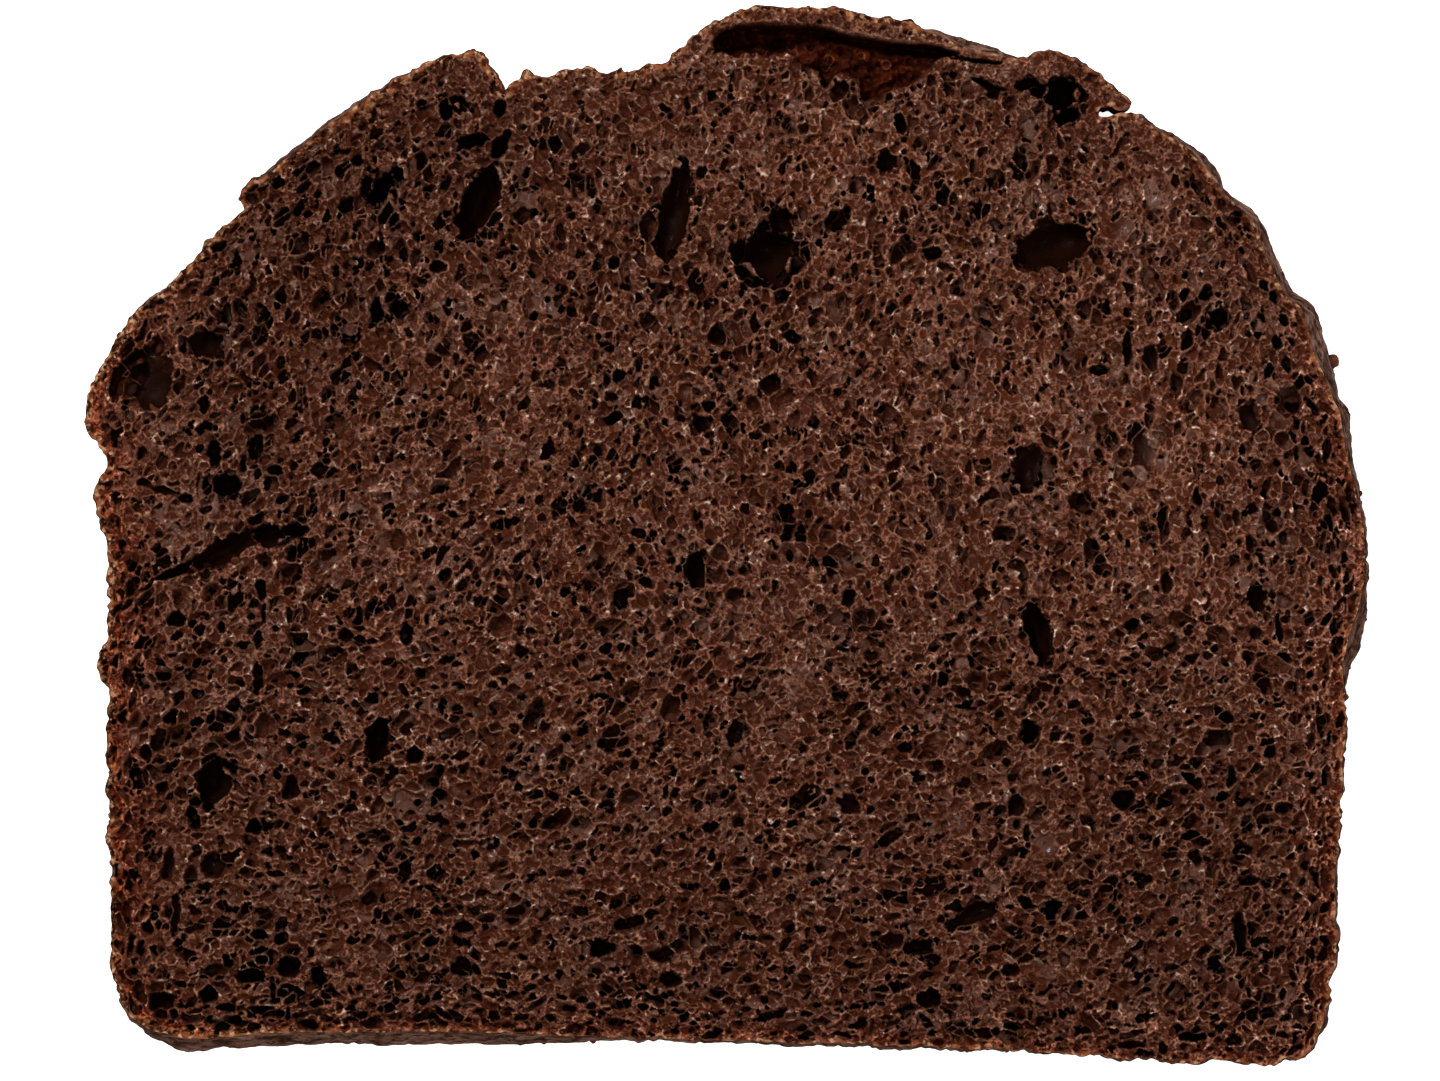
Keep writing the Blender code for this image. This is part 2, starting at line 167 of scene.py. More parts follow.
# The smaller holes: x, y, width, height and tilt in degrees.
CUPS = (
    (-36.8, 19.8, 2.1, 2.1, 0), (-56.6, -21.4, 1.0, 2.5, 0), (-55.1, -24.6, 1.4, 1.4, 0),
    (-57.4, -23.8, 1.6, 2.3, 0), (-27.6, -3.9, 1.6, 1.6, 0), (-46.1, -28.6, 1.6, 1.6, 0),
    (-31.0, -7.7, 1.2, 1.4, 0), (-31.1, -9.7, 1.2, 2.3, 0), (-37.2, -9.8, 1.4, 1.4, 0),
    (-36.0, -8.0, 0.8, 1.9, 0), (-45.4, -5.2, 0.9, 2.6, 3), (-45.1, -7.8, 0.6, 2.2, -5),
    (-45.7, -10.1, 0.9, 2.3, 4), (-45.8, -13.9, 1.2, 3.2, 0), (-53.5, -8.4, 2.1, 1.9, 0),
    (-48.2, -19.6, 1.6, 1.6, 0), (-48.9, -17.7, 2.1, 1.8, 0), (-42.6, -24.6, 2.1, 2.3, 0),
    (-30.5, -21.5, 1.8, 1.8, 0), (-0.9, 19.5, 1.8, 2.1, 0), (-23.9, 17.5, 1.8, 2.1, 0),
    (-10.7, 15.5, 1.4, 1.4, 0), (-8.9, 12.8, 1.4, 1.4, 0), (4.1, 14.7, 1.9, 2.5, 0),
    (2.4, 12.7, 1.4, 1.4, 0), (-1.8, 12.5, 1.6, 1.4, 0), (-4.9, 6.6, 1.8, 1.4, 0),
    (-15.0, 21.5, 1.2, 1.6, 0), (-11.2, 26.5, 1.2, 1.6, 0), (6.3, 19.2, 1.8, 1.2, 0),
    (-11.6, 11.2, 2.9, 1.2, 10), (-7.8, -4.7, 1.6, 1.2, 0), (6.0, 0.0, 1.6, 2.7, 0),
    (11.8, -6.3, 1.6, 2.1, 0), (0.8, -5.9, 1.6, 1.6, 0), (10.2, -2.7, 1.6, 1.4, 0),
    (19.9, 27.4, 1.9, 1.9, 0), (34.9, 21.9, 1.8, 1.9, 0), (46.6, 23.6, 1.5, 1.6, 0),
    (44.7, 18.8, 1.2, 2.1, -10), (46.6, 19.6, 1.1, 1.4, 0), (43.0, 23.2, 1.0, 1.2, 0),
    (44.4, 23.3, 1.1, 1.2, 0), (51.8, 19.7, 1.0, 1.5, 20), (53.5, 18.7, 1.0, 1.6, 25),
    (52.7, 16.2, 1.0, 1.9, -15), (54.3, 20.9, 1.0, 1.5, 25), (50.1, 14.2, 0.8, 1.8, 0),
    (53.9, 13.0, 1.0, 1.5, -20), (52.2, 24.2, 1.0, 1.3, 30), (53.2, 23.2, 0.8, 1.4, 30),
    (46.4, 8.4, 0.9, 1.3, 0), (56.2, 9.1, 0.9, 1.1, 0), (55.1, 9.5, 0.7, 1.4, 10),
    (47.9, 15.4, 0.9, 2.4, 5), (-55.2, -45.4, 2.6, 2.4, 0), (-48.8, -46.1, 2.0, 0.9, 0),
    (-45.6, -39.0, 2.1, 1.1, -10), (-45.2, -37.8, 1.5, 1.1, 0), (-55.9, -40.8, 1.2, 1.7, 0),
    (-54.9, -36.6, 1.2, 0.6, 25), (-40.0, -45.6, 1.4, 1.1, 0), (-42.6, -46.7, 0.6, 1.2, 0),
    (-44.3, -44.3, 0.9, 2.6, -5), (-48.7, -41.5, 1.2, 1.3, 0), (-45.3, -40.4, 1.3, 0.9, 0),
    (-43.4, -39.4, 1.3, 1.3, 0), (41.2, 17.2, 1.6, 2.7, 0), (38.9, 18.2, 1.0, 3.5, 0),
    (43.8, 14.8, 1.6, 2.3, 0), (36.3, 11.2, 1.8, 1.8, 0), (36.2, 16.1, 1.6, 1.2, 0),
    (55.7, 14.9, 1.2, 1.6, 0), (50.4, 8.3, 1.2, 1.4, 0), (26.9, -0.0, 2.3, 1.6, 0),
    (45.7, 3.5, 1.0, 2.3, 0), (42.5, 0.9, 1.2, 4.3, 0), (35.6, -1.7, 1.8, 2.7, 0),
    (58.7, 1.4, 0.8, 2.3, 0), (53.8, -9.0, 0.8, 2.9, 0), (42.7, -4.7, 1.2, 2.3, 0),
    (39.4, -9.1, 1.8, 1.6, 0), (43.3, -10.6, 1.6, 2.1, 0), (50.8, -12.0, 1.0, 1.6, 0),
    (48.5, -17.9, 1.8, 1.2, 0), (35.2, -20.1, 1.6, 1.4, 0), (38.6, -25.7, 2.1, 2.1, 0),
    (49.0, -23.7, 1.2, 2.5, 0), (54.2, -26.6, 1.6, 1.2, 0), (52.8, -21.3, 1.4, 1.4, 0),
    (23.7, -16.6, 2.9, 1.0, 8), (21.0, -14.2, 1.4, 1.4, 0), (20.3, -22.6, 1.8, 1.4, 0),
    (27.6, -42.6, 2.3, 1.4, 0), (15.8, -35.1, 1.9, 1.4, 0), (19.7, -45.3, 2.5, 1.9, 0),
    (15.4, -44.3, 2.3, 0.8, 0), (45.3, -49.0, 2.9, 1.0, 0), (45.3, -29.3, 1.8, 0.9, 0),
    (50.8, -33.7, 1.8, 1.4, 0), (35.5, -31.9, 1.4, 1.4, 0), (34.5, -37.2, 1.4, 1.0, 0),
    (28.1, -26.6, 1.9, 2.3, 0), (49.9, -39.0, 1.6, 4.3, 0), (-5.5, -43.4, 2.1, 1.8, 0),
    (-9.4, -25.8, 2.3, 1.6, 0), (-1.7, -28.6, 1.6, 1.2, 0), (-54.4, -32.3, 1.4, 2.9, 0),
    (-50.0, -32.1, 2.5, 2.5, 0), (-52.3, -33.2, 1.4, 1.9, 0), (-42.6, -42.2, 2.1, 2.1, 0),
    (-50.6, -44.9, 1.9, 1.6, 0), (-57.0, -40.7, 0.8, 2.9, 0), (-53.8, -37.0, 1.0, 4.9, 0),
    (-38.6, 6.0, 1.6, 1.4, 0), (-44.0, 6.2, 1.2, 1.2, 0), (-51.1, 12.9, 1.4, 2.1, 0),
    (-42.2, 13.7, 1.0, 2.3, 0), (-53.3, 8.2, 1.0, 1.6, 0), (-52.1, -27.6, 1.2, 2.5, 10),
    (-56.7, -18.8, 0.9, 1.8, 0), (-54.9, -13.6, 1.4, 1.6, 0), (-53.3, -14.4, 0.9, 1.0, 0),
    (-51.6, -12.6, 1.3, 0.9, 0), (-51.4, -15.4, 1.4, 1.0, 0), (-51.6, -18.3, 1.2, 1.0, 0),
    (-54.0, -20.4, 1.1, 1.1, 0), (-54.2, -17.8, 1.6, 1.4, 0), (-52.3, -6.1, 0.8, 1.0, 0),
    (-51.4, -9.0, 1.1, 1.6, 0), (-49.3, -9.0, 1.0, 1.5, -20), (-50.1, -11.5, 1.3, 0.8, 0),
    (-45.2, -24.0, 0.9, 1.2, 0), (-43.8, -23.5, 0.8, 1.0, 0), (-41.4, -20.4, 0.8, 0.9, 0),
    (-45.0, -2.5, 1.4, 1.7, 0), (-42.3, -2.1, 1.4, 2.6, 0), (-51.5, 4.7, 0.7, 2.6, 0),
    (-47.2, 6.8, 0.7, 2.2, 0), (-22.2, 41.6, 1.3, 1.6, 0), (-36.1, 36.3, 1.2, 1.2, 0),
    (-37.1, 32.0, 1.8, 2.0, 0), (-32.4, 30.8, 1.2, 1.2, 0), (-29.0, 33.7, 1.3, 1.0, 0),
    (-27.5, 34.0, 0.9, 2.4, -25), (-27.8, 30.5, 1.0, 1.6, 0), (-28.0, 27.8, 1.0, 1.4, 0),
    (-28.0, 26.1, 2.1, 1.3, 0), (-20.9, 27.7, 1.0, 1.1, 0), (-17.5, 36.3, 0.8, 1.0, 0),
    (-22.9, 30.7, 2.0, 1.0, 30), (-16.8, 38.0, 1.4, 2.0, 0), (-18.9, 33.9, 1.2, 0.9, 0),
    (-17.9, 42.5, 0.7, 0.7, 0), (-29.6, 41.8, 1.0, 1.0, 0),
)

# Shallow cups whose films are whole: x, y, width, height and tilt in degrees.
FILMS = (
    (-19.7, 32.0, 2.4, 3.4, 0), (-34.3, 18.4, 2.7, 2.7, 0), (38.0, 29.8, 2.9, 2.1, 10),
    (40.4, 7.7, 2.7, 5.4, 0), (34.3, 9.1, 2.7, 3.9, 0), (30.1, -42.6, 2.9, 2.5, 0),
    (30.9, -30.4, 2.4, 2.4, 0), (-31.0, -25.9, 3.9, 2.3, 0), (-17.0, 23.2, 2.3, 3.7, 0),
)

# The edge of the hollow under the lifted crust, clockwise from the left end: under the crust, and
# then along the crumb.
POCKET_LIP = (
    (-1.6, 48.0), (-0.3, 49.3), (2.4, 49.8), (5.5, 49.7), (9.7, 49.5), (11.4, 49.0), (13.7, 48.6),
    (16.0, 48.2), (20.8, 47.7), (22.8, 46.8),
)
POCKET_SILL = (
    (20.6, 46.1), (19.1, 44.4), (17.4, 43.5), (14.8, 42.6), (13.1, 42.3), (12.4, 43.9),
    (11.1, 45.1), (9.6, 43.6), (8.8, 45.1), (6.8, 46.1), (5.5, 46.9), (2.5, 46.6), (-1.2, 46.9),
)

# Pale torn edges from one end to the other: of the fold at the left wall, then round the hollow. Their
# paleness is partly a painted highlight.
PALE_EDGES = (
    ((-60.0, 7.2), (-57.8, 6.0)),
    ((-3.5, 47.9), (-1.8, 48.5)),
    ((-1.7, 47.8), (-3.2, 46.2)),
    ((-3.2, 46.2), (-4.6, 45.3)),
    ((20.0, 47.9), (25.5, 46.7)),
)

# The beads on the hollow's wall, raised a little and ringed in pale as a painted highlight: x, y and radius.
POCKET_RINGS = (
    (6.3, 47.7, 0.45), (6.5, 46.9, 0.35), (9.9, 46.3, 0.5), (9.6, 45.6, 0.4), (15.5, 45.8, 0.45),
    (13.1, 46.7, 0.3),
)

# The crumb. Lengths are millimetres, here as in the tables.
EDGE_REACH = 6.0  # how far in from the crust it still shapes the crumb
TORN_TOP = (34.0, 40.0)  # heights between which the crust's effect on the crumb dies out
CRUST_BAND = 0.16  # width of the crust's own cut edge
JITTER = 1.45  # how far a bubble strays from its place in the row, as a share of the gap
WARP_MARGIN = 0.45  # most that the warp moves a bubble's skin
BATCH = 400_000  # most places looked at in one go
THREADS = 4
LABELS = 1 << 20  # more than there are bubbles
NO_KEY = np.iinfo(np.int64).max  # a place that nothing has reached
KEY_STEPS = 1e6  # steps of distance in a millimetre
KEY_SHIFT = 16  # makes the distance within a bubble positive
FAR = 9.0  # further than any bubble or wall that counts
SAME_POINT = 1e-6  # shorter than any leg of an outline
PINCH_ROUNDS = 8  # most passes over a grid to fill corners where its kept quads only touch
NEAR_CUT = 0.9  # how far below or above the cut a bubble that shapes it may end
FLOOR_RISE, FLOOR_CURL = 0.55, 0.25  # how a cup's floor flattens towards its rim
FAN = 0.45  # how far the bubbles at the side walls lean to the middle, in radians
SIDE = 60.0  # distance of the side walls from the middle
RISING_FROM = -8.0  # above this the bubbles are drawn out upwards, and below it sideways
INNER_PULL = 0.45  # how strongly the bubbles away from the crust lie one way
HIGHEST_MIDDLE = 0.6  # of the bubbles, above the cut
GAP_REACH = 0.5  # largest bubble that fills a gap
SMALLEST_GAP = 0.09  # distance to the nearest bubble from which a gap is filled
FILLER_OVERLAP = 0.10  # how much larger than its gap the bubble in it is
PEAK_WINDOW = 2  # grid points to each side over which a gap's middle stands out
CELL_REACH = 0.4  # how far outside a bubble its cell goes
SOLID_FROM = 0.35  # further than this from every bubble the crumb is solid
BOWL_DEPTH, BOWL_SLOPE = 0.75, 0.4  # of the dip that every cell has at least
NOTCH_DEPTH, NOTCH_LENGTH = 0.35, 0.8  # of the notches in torn walls
# Torn edges are painted less bright the further below the cut they stand: painted shade.
DARK_FROM = 0.8  # how far under the cut a torn edge is no longer bright
BESIDE = 0.7  # steps of the grid within which a point is moved to its wall
OVERLAP = 0.05  # how far a place lies in the bubble below before the film there may be torn
LEAST_FALL = 0.05  # between the middles of two bubbles with a film between them
FLATTEST = 0.05  # least steepness from which the way to a wall is reckoned
CREST_SALT, FILM_SALT, RIB_SALT = 7.0, 3.0, 9.0  # keep the chances of one pair of bubbles apart
# The walls of lower layers are painted dimmer: painted shade.
RIB_DROP, RIB_BRIGHTNESS = 0.25, 0.6  # of the walls between the bubbles of a lower layer
RIB_WIDTH = 0.7  # of those walls, as a share of the others
RAGGED = ((0.22, 1.4), (0.16, 0.5))  # the outline's unevenness, as heights and lengths
WARP_WAVES = ((1.0, 1.3), (0.25, 0.5))  # of the push that takes bubbles out of round
CUT_WAVES = ((0.6, 7.0), (1.0, 1.4), (0.6, 0.6))  # of the uneven cut
FILL_ROUNDS = 2  # times that the gaps between bubbles are looked for and filled
SMALLEST_OPEN = 0.42  # smallest bubble that opens into the one under it
HOLE_LOBES = 8  # small bubbles round each larger hole, which make its edge uneven
CLEARED = 0.8  # share of a hole's area that is cleared of other bubbles
HOLE_PART = -1.0  # marks bubbles that have no walls between them
CUP = -0.5  # marks dark single bubbles
FILMED = 1.0  # marks bubbles whose films are whole
POCKET_REACH = 2.0  # how far from the hollow's edge the distance to it counts
POCKET_SLOPE = 0.45  # width of the hollow's sloping wall
POCKET_DEPTH, POCKET_RISE = 8.0, 3.8  # under the lifted crust, and how much less along the crumb
LARGEST_SHIFT = 0.45  # of a grid point to the wall beside it, in steps of the grid
FINE_BLUR, WIDE_BLUR = 1, 10  # rounds of blurring that the relief is the difference of
UNDERSIDE_DEPTH = 2.5  # of its deepest cells

# The crust.
ROW_COUNT = 40  # rings of points from one cut face to the other
CRUST_SHARES = [1 - (0.012 + 0.988 * (k / (ROW_COUNT - 1)) ** 1.15) for k in range(ROW_COUNT)]
CRUST_SPLITS = (0.10, 0.38, 0.55, 0.84)  # of the way round, from the left shoulder
CRUST_NAMES = ("crust_shoulder", "crust_top", "crust_right", "crust_base", "crust_left")
LOOSE_CRUMBS = 60  # scattered over the crust
STUCK_HEIGHT = 0.68  # of the crumbs in the next table, as a share of the thickness

# Crumbs stuck to the crust beside the cut face: x, y, width and height.
STUCK_CRUMBS = (
    (59.1, 16.9, 1.4, 1.7), (60.1, 11.8, 0.9, 1.3), (60.3, 10.7, 0.8, 1.2), (60.2, -15.8, 1.0, 1.1),
    (59.7, -27.0, 0.9, 1.7),
)

# The lights, in metres, and the camera.
KEY_PLACE = (-0.38, 0.45, 0.95)
FILL_PLACE = (0.60, -0.30, 0.60)
TOP_PLACE = (0.0, 0.0, 1.0)
KEY_SIZE, SOFT_SIZE = 0.30, 0.5
WHITE = (1.0, 1.0, 1.0, 1.0)
LENS = 400.0  # focal length and sensor width, in millimetres
SENSOR = 36.0
VIEW_WIDTH = 140.2  # of the picture, level with the upper cut face
VIEW_CENTRE = (-0.7, -0.6)

OUTLINE_STEP = 0.15  # longest straight stretch along the outline
NORMAL_ROUNDS = 6  # how far the outline's way out is evened

# The crust's profile from the upper cut face to the back face: share of the thickness, share of
# the crust's stand-out still missing there, and share of the lumps.
PROFILE = (
    (1.00, 1.00, 0.0), (0.86, 0.30, 0.4), (0.55, 0.00, 1.0), (0.22, 0.05, 0.8), (0.00, 0.30, 0.0),
)
BACK_ROUNDING = 0.35  # how far the back face's edge turns in
LUMP_HEIGHT = 0.28  # how far the crust's lumps stand out
LUMP_LENGTH = 5.0  # of one lump of crust, along the outline
LUMP_SHIFT = Vector((3.7, 11.3, 5.9))  # picks one stretch of the noise
CREASE_DEPTH = 0.22  # of the crust's creases

# The crust's finer unevenness: height, how much smaller it is along x, y and z, length and shift.
CRUST_GRAIN = (
    (0.16, (1, 1, 2.2), 1.9, LUMP_SHIFT),
    (0.07, (1, 1, 1.6), 0.6, LUMP_SHIFT),
    (0.25, (0.4, 0.4, 1.0), 1.4, -LUMP_SHIFT),
)

SEED = 5  # of everything random
UNDERSIDE_SEED = SEED + 1000

# Sizes of bubble: how far apart their middles are, smallest and largest radius, share of places
# that hold one, how much that share changes over the slice, and how deep they go.
BUBBLE_SIZES = {
    "large": (2.8, 1.00, 1.50, 0.50, 1.0, 3.4),
    "medium": (1.45, 0.58, 0.95, 1.00, 0.0, 3.4),
    "small": (0.85, 0.32, 0.55, 0.65, -0.3, 1.6),
    "tiny": (0.50, 0.17, 0.28, 1.00, 0.0, 0.9),
}
PATCH_LENGTH = 5.0  # of a stretch with more large and fewer small bubbles, or the reverse
NOISE_SIDE = 256  # random heights to a side of the smooth noise, after which it repeats
NOISE_START = (77.3, 31.7)  # where in the noise the middle of the slice lies


def wavy(x, y, length, seed):
    """Smooth noise from -1 to 1 whose hills are about length apart."""
    hills = np.random.default_rng(seed).random((NOISE_SIDE, NOISE_SIDE)) * 2 - 1
    u, v = x / length + NOISE_START[0], y / length + NOISE_START[1]
    i, j = np.floor(u).astype(int), np.floor(v).astype(int)
    s, t = u - i, v - j
    s, t = s * s * (3 - 2 * s), t * t * (3 - 2 * t)
    left, low = i % NOISE_SIDE, j % NOISE_SIDE
    right, high = (i + 1) % NOISE_SIDE, (j + 1) % NOISE_SIDE
    bottom = hills[left, low] * (1 - s) + hills[right, low] * s
    top = hills[left, high] * (1 - s) + hills[right, high] * s
    return bottom * (1 - t) + top * t


def waves(x, y, seed, *sizes):
    """Smooth noise of several sizes at once, each given by its height and the length of its hills."""
    return sum(height * wavy(x, y, length, seed + k) for k, (height, length) in enumerate(sizes))


def ramp(value, start, end):
    """A smooth step from 0 at start to 1 at end."""
    share = np.clip((value - start) / (end - start), 0, 1)
    return share * share * (3 - 2 * share)


def fade(value, start, end):
    """A smooth step from 1 at start to 0 at end."""
    return 1 - ramp(value, start, end)


def pair_chance(first, second, salt):
    """The same chance from 0 to 1 for a pair of bubbles, whichever comes first."""
    low, high = np.minimum(first, second), np.maximum(first, second)
    return np.modf(np.abs(np.sin(low * 12.9898 + high * 78.233 + salt) * 43758.5453))[0]


def spline_points(stations, step):
    """A closed centripetal Catmull-Rom curve, with a point at least every step."""
    stations = np.array(stations)
    points = []
    for i, start in enumerate(stations):
        before, end, after = (stations[(i + k) % len(stations)] for k in (-1, 1, 2))
        legs = ((before, start), (start, end), (end, after))
        gaps = [max(np.linalg.norm(b - a), SAME_POINT) ** 0.5 for a, b in legs]
        knots = np.cumsum([0.0] + gaps)
        pieces = max(1, math.ceil(np.linalg.norm((end - start)[:2]) / step))
        for t in knots[1] + (knots[2] - knots[1]) * np.arange(pieces) / pieces:

            def blend(a, b, low, high):
                return a * ((high - t) / (high - low)) + b * ((t - low) / (high - low))

            first = blend(before, start, knots[0], knots[1])
            middle = blend(start, end, knots[1], knots[2])
            last = blend(end, after, knots[2], knots[3])
            left = blend(first, middle, knots[0], knots[2])
            right = blend(middle, last, knots[1], knots[3])
            points.append(blend(left, right, knots[1], knots[2]))
    return np.array(points)


def slice_outline():
    """The outline's points, x, y, stand-out and the way out, and the middle they were moved from."""
    loop = spline_points(OUTLINE, OUTLINE_STEP)
    low, high = loop[:, :2].min(axis=0), loop[:, :2].max(axis=0)
    loop[:, :2] = (loop[:, :2] - (low + high) / 2) * WIDTH / (high[0] - low[0])
    loop = np.column_stack([loop, smooth_normals(loop)])
    ragged = waves(loop[:, 0], loop[:, 1], SEED + 60, *RAGGED)
    ragged = ragged * np.interp(loop[:, 2], (0.2, 0.6), (1.0, 0.35))
    loop[:, :2] -= outward(loop) * (ragged - 0.1 * np.clip(loop[:, 2], 0, 1))[:, None]
    return loop, (low + high) / 2


def smooth_normals(loop):
    """Unit vectors that point out of a clockwise loop, the same for near points."""
    along = np.roll(loop[:, :2], -1, axis=0) - np.roll(loop[:, :2], 1, axis=0)
    along /= np.linalg.norm(along, axis=1, keepdims=True)
    for _ in range(NORMAL_ROUNDS):
        along = (np.roll(along, 1, axis=0) + 2 * along + np.roll(along, -1, axis=0)) / 4
    out = np.stack([-along[:, 1], along[:, 0]], axis=1)
    return out / np.linalg.norm(out, axis=1, keepdims=True)


def outward(loop):
    """The way out of the slice at each point of the outline."""
    return loop[:, 3:5]


def loop_runs(points):
    """How far along a closed loop each point is, how long each step is, and the whole length."""
    lengths = np.linalg.norm(np.roll(points, -1, axis=0) - points, axis=1)
    runs = np.concatenate([[0.0], np.cumsum(lengths)])
    return runs[:-1], lengths, runs[-1]


def inside(loop, xs, ys):
    """Which places of a grid lie within a closed loop of points."""
    start, end = loop[:, :2], np.roll(loop[:, :2], -1, axis=0)
    result = np.zeros((len(xs), len(ys)), bool)
    for j, y in enumerate(ys):
        crossed = (start[:, 1] <= y) != (end[:, 1] <= y)
        a, b = start[crossed], end[crossed]
        crossings = np.sort(a[:, 0] + (y - a[:, 1]) * (b[:, 0] - a[:, 0]) / (b[:, 1] - a[:, 1]))
        result[:, j] = np.searchsorted(crossings, xs) % 2 == 1
    return result


class LoopField:
    """For each place of a grid: how far inside a loop it is, and the loop's nearest point."""

    def __init__(self, loop, x, y, reach):
        xs, ys = x[:, 0], y[0]
        step = xs[1] - xs[0]
        points = loop[:, :2]
        window = np.arange(-int(reach / step), int(reach / step) + 1)
        best = np.full(x.size, NO_KEY)
        for k, (px, py) in enumerate(points):
            i = round((px - xs[0]) / step) + window
            j = round((py - ys[0]) / step) + window
            i, j = i[(i >= 0) & (i < len(xs))], j[(j >= 0) & (j < len(ys))]
            far = np.hypot((xs[i] - px)[:, None], (ys[j] - py)[None, :])
            key = (far * KEY_STEPS).astype(np.int64) * len(points) + k
            cells = i[:, None] * len(ys) + j[None, :]
            best[cells] = np.minimum(best[cells], key)
        known = best < NO_KEY
        nearest = np.where(known, best % len(points), 0)
        self.distance = np.full(x.size, float(reach))
        self.x, self.y = x.ravel().copy(), y.ravel().copy()
        self.run, self.angle = np.zeros(x.size), np.zeros(x.size)
        runs, lengths, self.total = loop_runs(points)
        for back in (1, 0):
            k = (nearest - back) % len(points)
            a, b = points[k], points[(k + 1) % len(points)]
            along = b - a
            share = ((self.flat(x, y) - a) * along).sum(axis=1) / (along**2).sum(axis=1)
            share = np.clip(share, 0, 1)
            foot = a + along * share[:, None]
            far = np.linalg.norm(self.flat(x, y) - foot, axis=1)
            closer = known & (far < self.distance)
            self.distance[closer] = far[closer]
            self.x[closer], self.y[closer] = foot[closer].T
            self.run[closer] = (runs[k] + share * lengths[k])[closer]
            self.angle[closer] = np.arctan2(along[:, 1], along[:, 0])[closer]
        within = inside(loop, xs, ys).ravel()
        self.distance[~within] *= -1
        for name in ("distance", "x", "y", "run", "angle"):
            setattr(self, name, getattr(self, name).reshape(x.shape))

    @staticmethod
    def flat(x, y):
        """The places of a grid, one to a row."""
        return np.column_stack([x.ravel(), y.ravel()])


class Sheet:
    """A square grid over a cut face, cut off at the outline, with its rim on the outline."""

    def __init__(self, loop, step):
        self.step = step
        margin = 3 * step
        low, high = loop[:, :2].min(axis=0) - margin, loop[:, :2].max(axis=0) + margin
        xs, ys = np.arange(low[0], high[0], step), np.arange(low[1], high[1], step)
        self.x, self.y = np.meshgrid(xs, ys, indexing="ij")
        self.quads = self.without_pinches(inside(loop, xs[:-1] + step / 2, ys[:-1] + step / 2))
        self.field = LoopField(loop, self.x, self.y, EDGE_REACH)
        self.edge = self.field.distance
        rim = self.rim = np.unravel_index(self.follow_rim(), self.x.shape)
        self.x[rim], self.y[rim] = self.field.x[rim], self.field.y[rim]
        self.edge[rim] = 0.0

    @staticmethod
    def without_pinches(quads):
        """Fills quads in where two of them touch only at a corner."""
        for _ in range(PINCH_ROUNDS):
            a, b, c, d = quads[:-1, :-1], quads[1:, :-1], quads[:-1, 1:], quads[1:, 1:]
            pinch = (a & d & ~b & ~c) | (b & c & ~a & ~d)
            if not pinch.any():
                break
            for corner in (a, b, c, d):
                corner |= pinch
        return quads

    def follow_rim(self):
        """The grid points round the longest edge of the kept quads, clockwise."""
        wide = self.x.shape[1]
        kept = np.pad(self.quads, 1)
        i, j = np.nonzero(self.quads)
        corners = {"low": (i, j, i + 1, j), "right": (i + 1, j, i + 1, j + 1),
                   "high": (i + 1, j + 1, i, j + 1), "left": (i, j + 1, i, j)}
        beside = {"low": kept[i + 1, j], "right": kept[i + 2, j + 1],
                  "high": kept[i + 1, j + 2], "left": kept[i, j + 1]}
        after = {}
        for side, (a, b, c, d) in corners.items():
            bare = ~beside[side]
            after.update(zip((a * wide + b)[bare].tolist(), (c * wide + d)[bare].tolist()))
        longest = []
        while after:
            start, point = after.popitem()
            ring = [start]
            while point != start:
                ring.append(point)
                point = after.pop(point)
            longest = max(longest, ring, key=len)
        return np.array(longest[::-1])

    def at(self, values, x, y):
        """Values of the grid point nearest to each place."""
        i = np.clip(np.rint((x - self.x[1, 1]) / self.step).astype(int) + 1, 0, values.shape[0] - 1)
        j = np.clip(np.rint((y - self.y[1, 1]) / self.step).astype(int) + 1, 0, values.shape[1] - 1)
        return values[i, j]


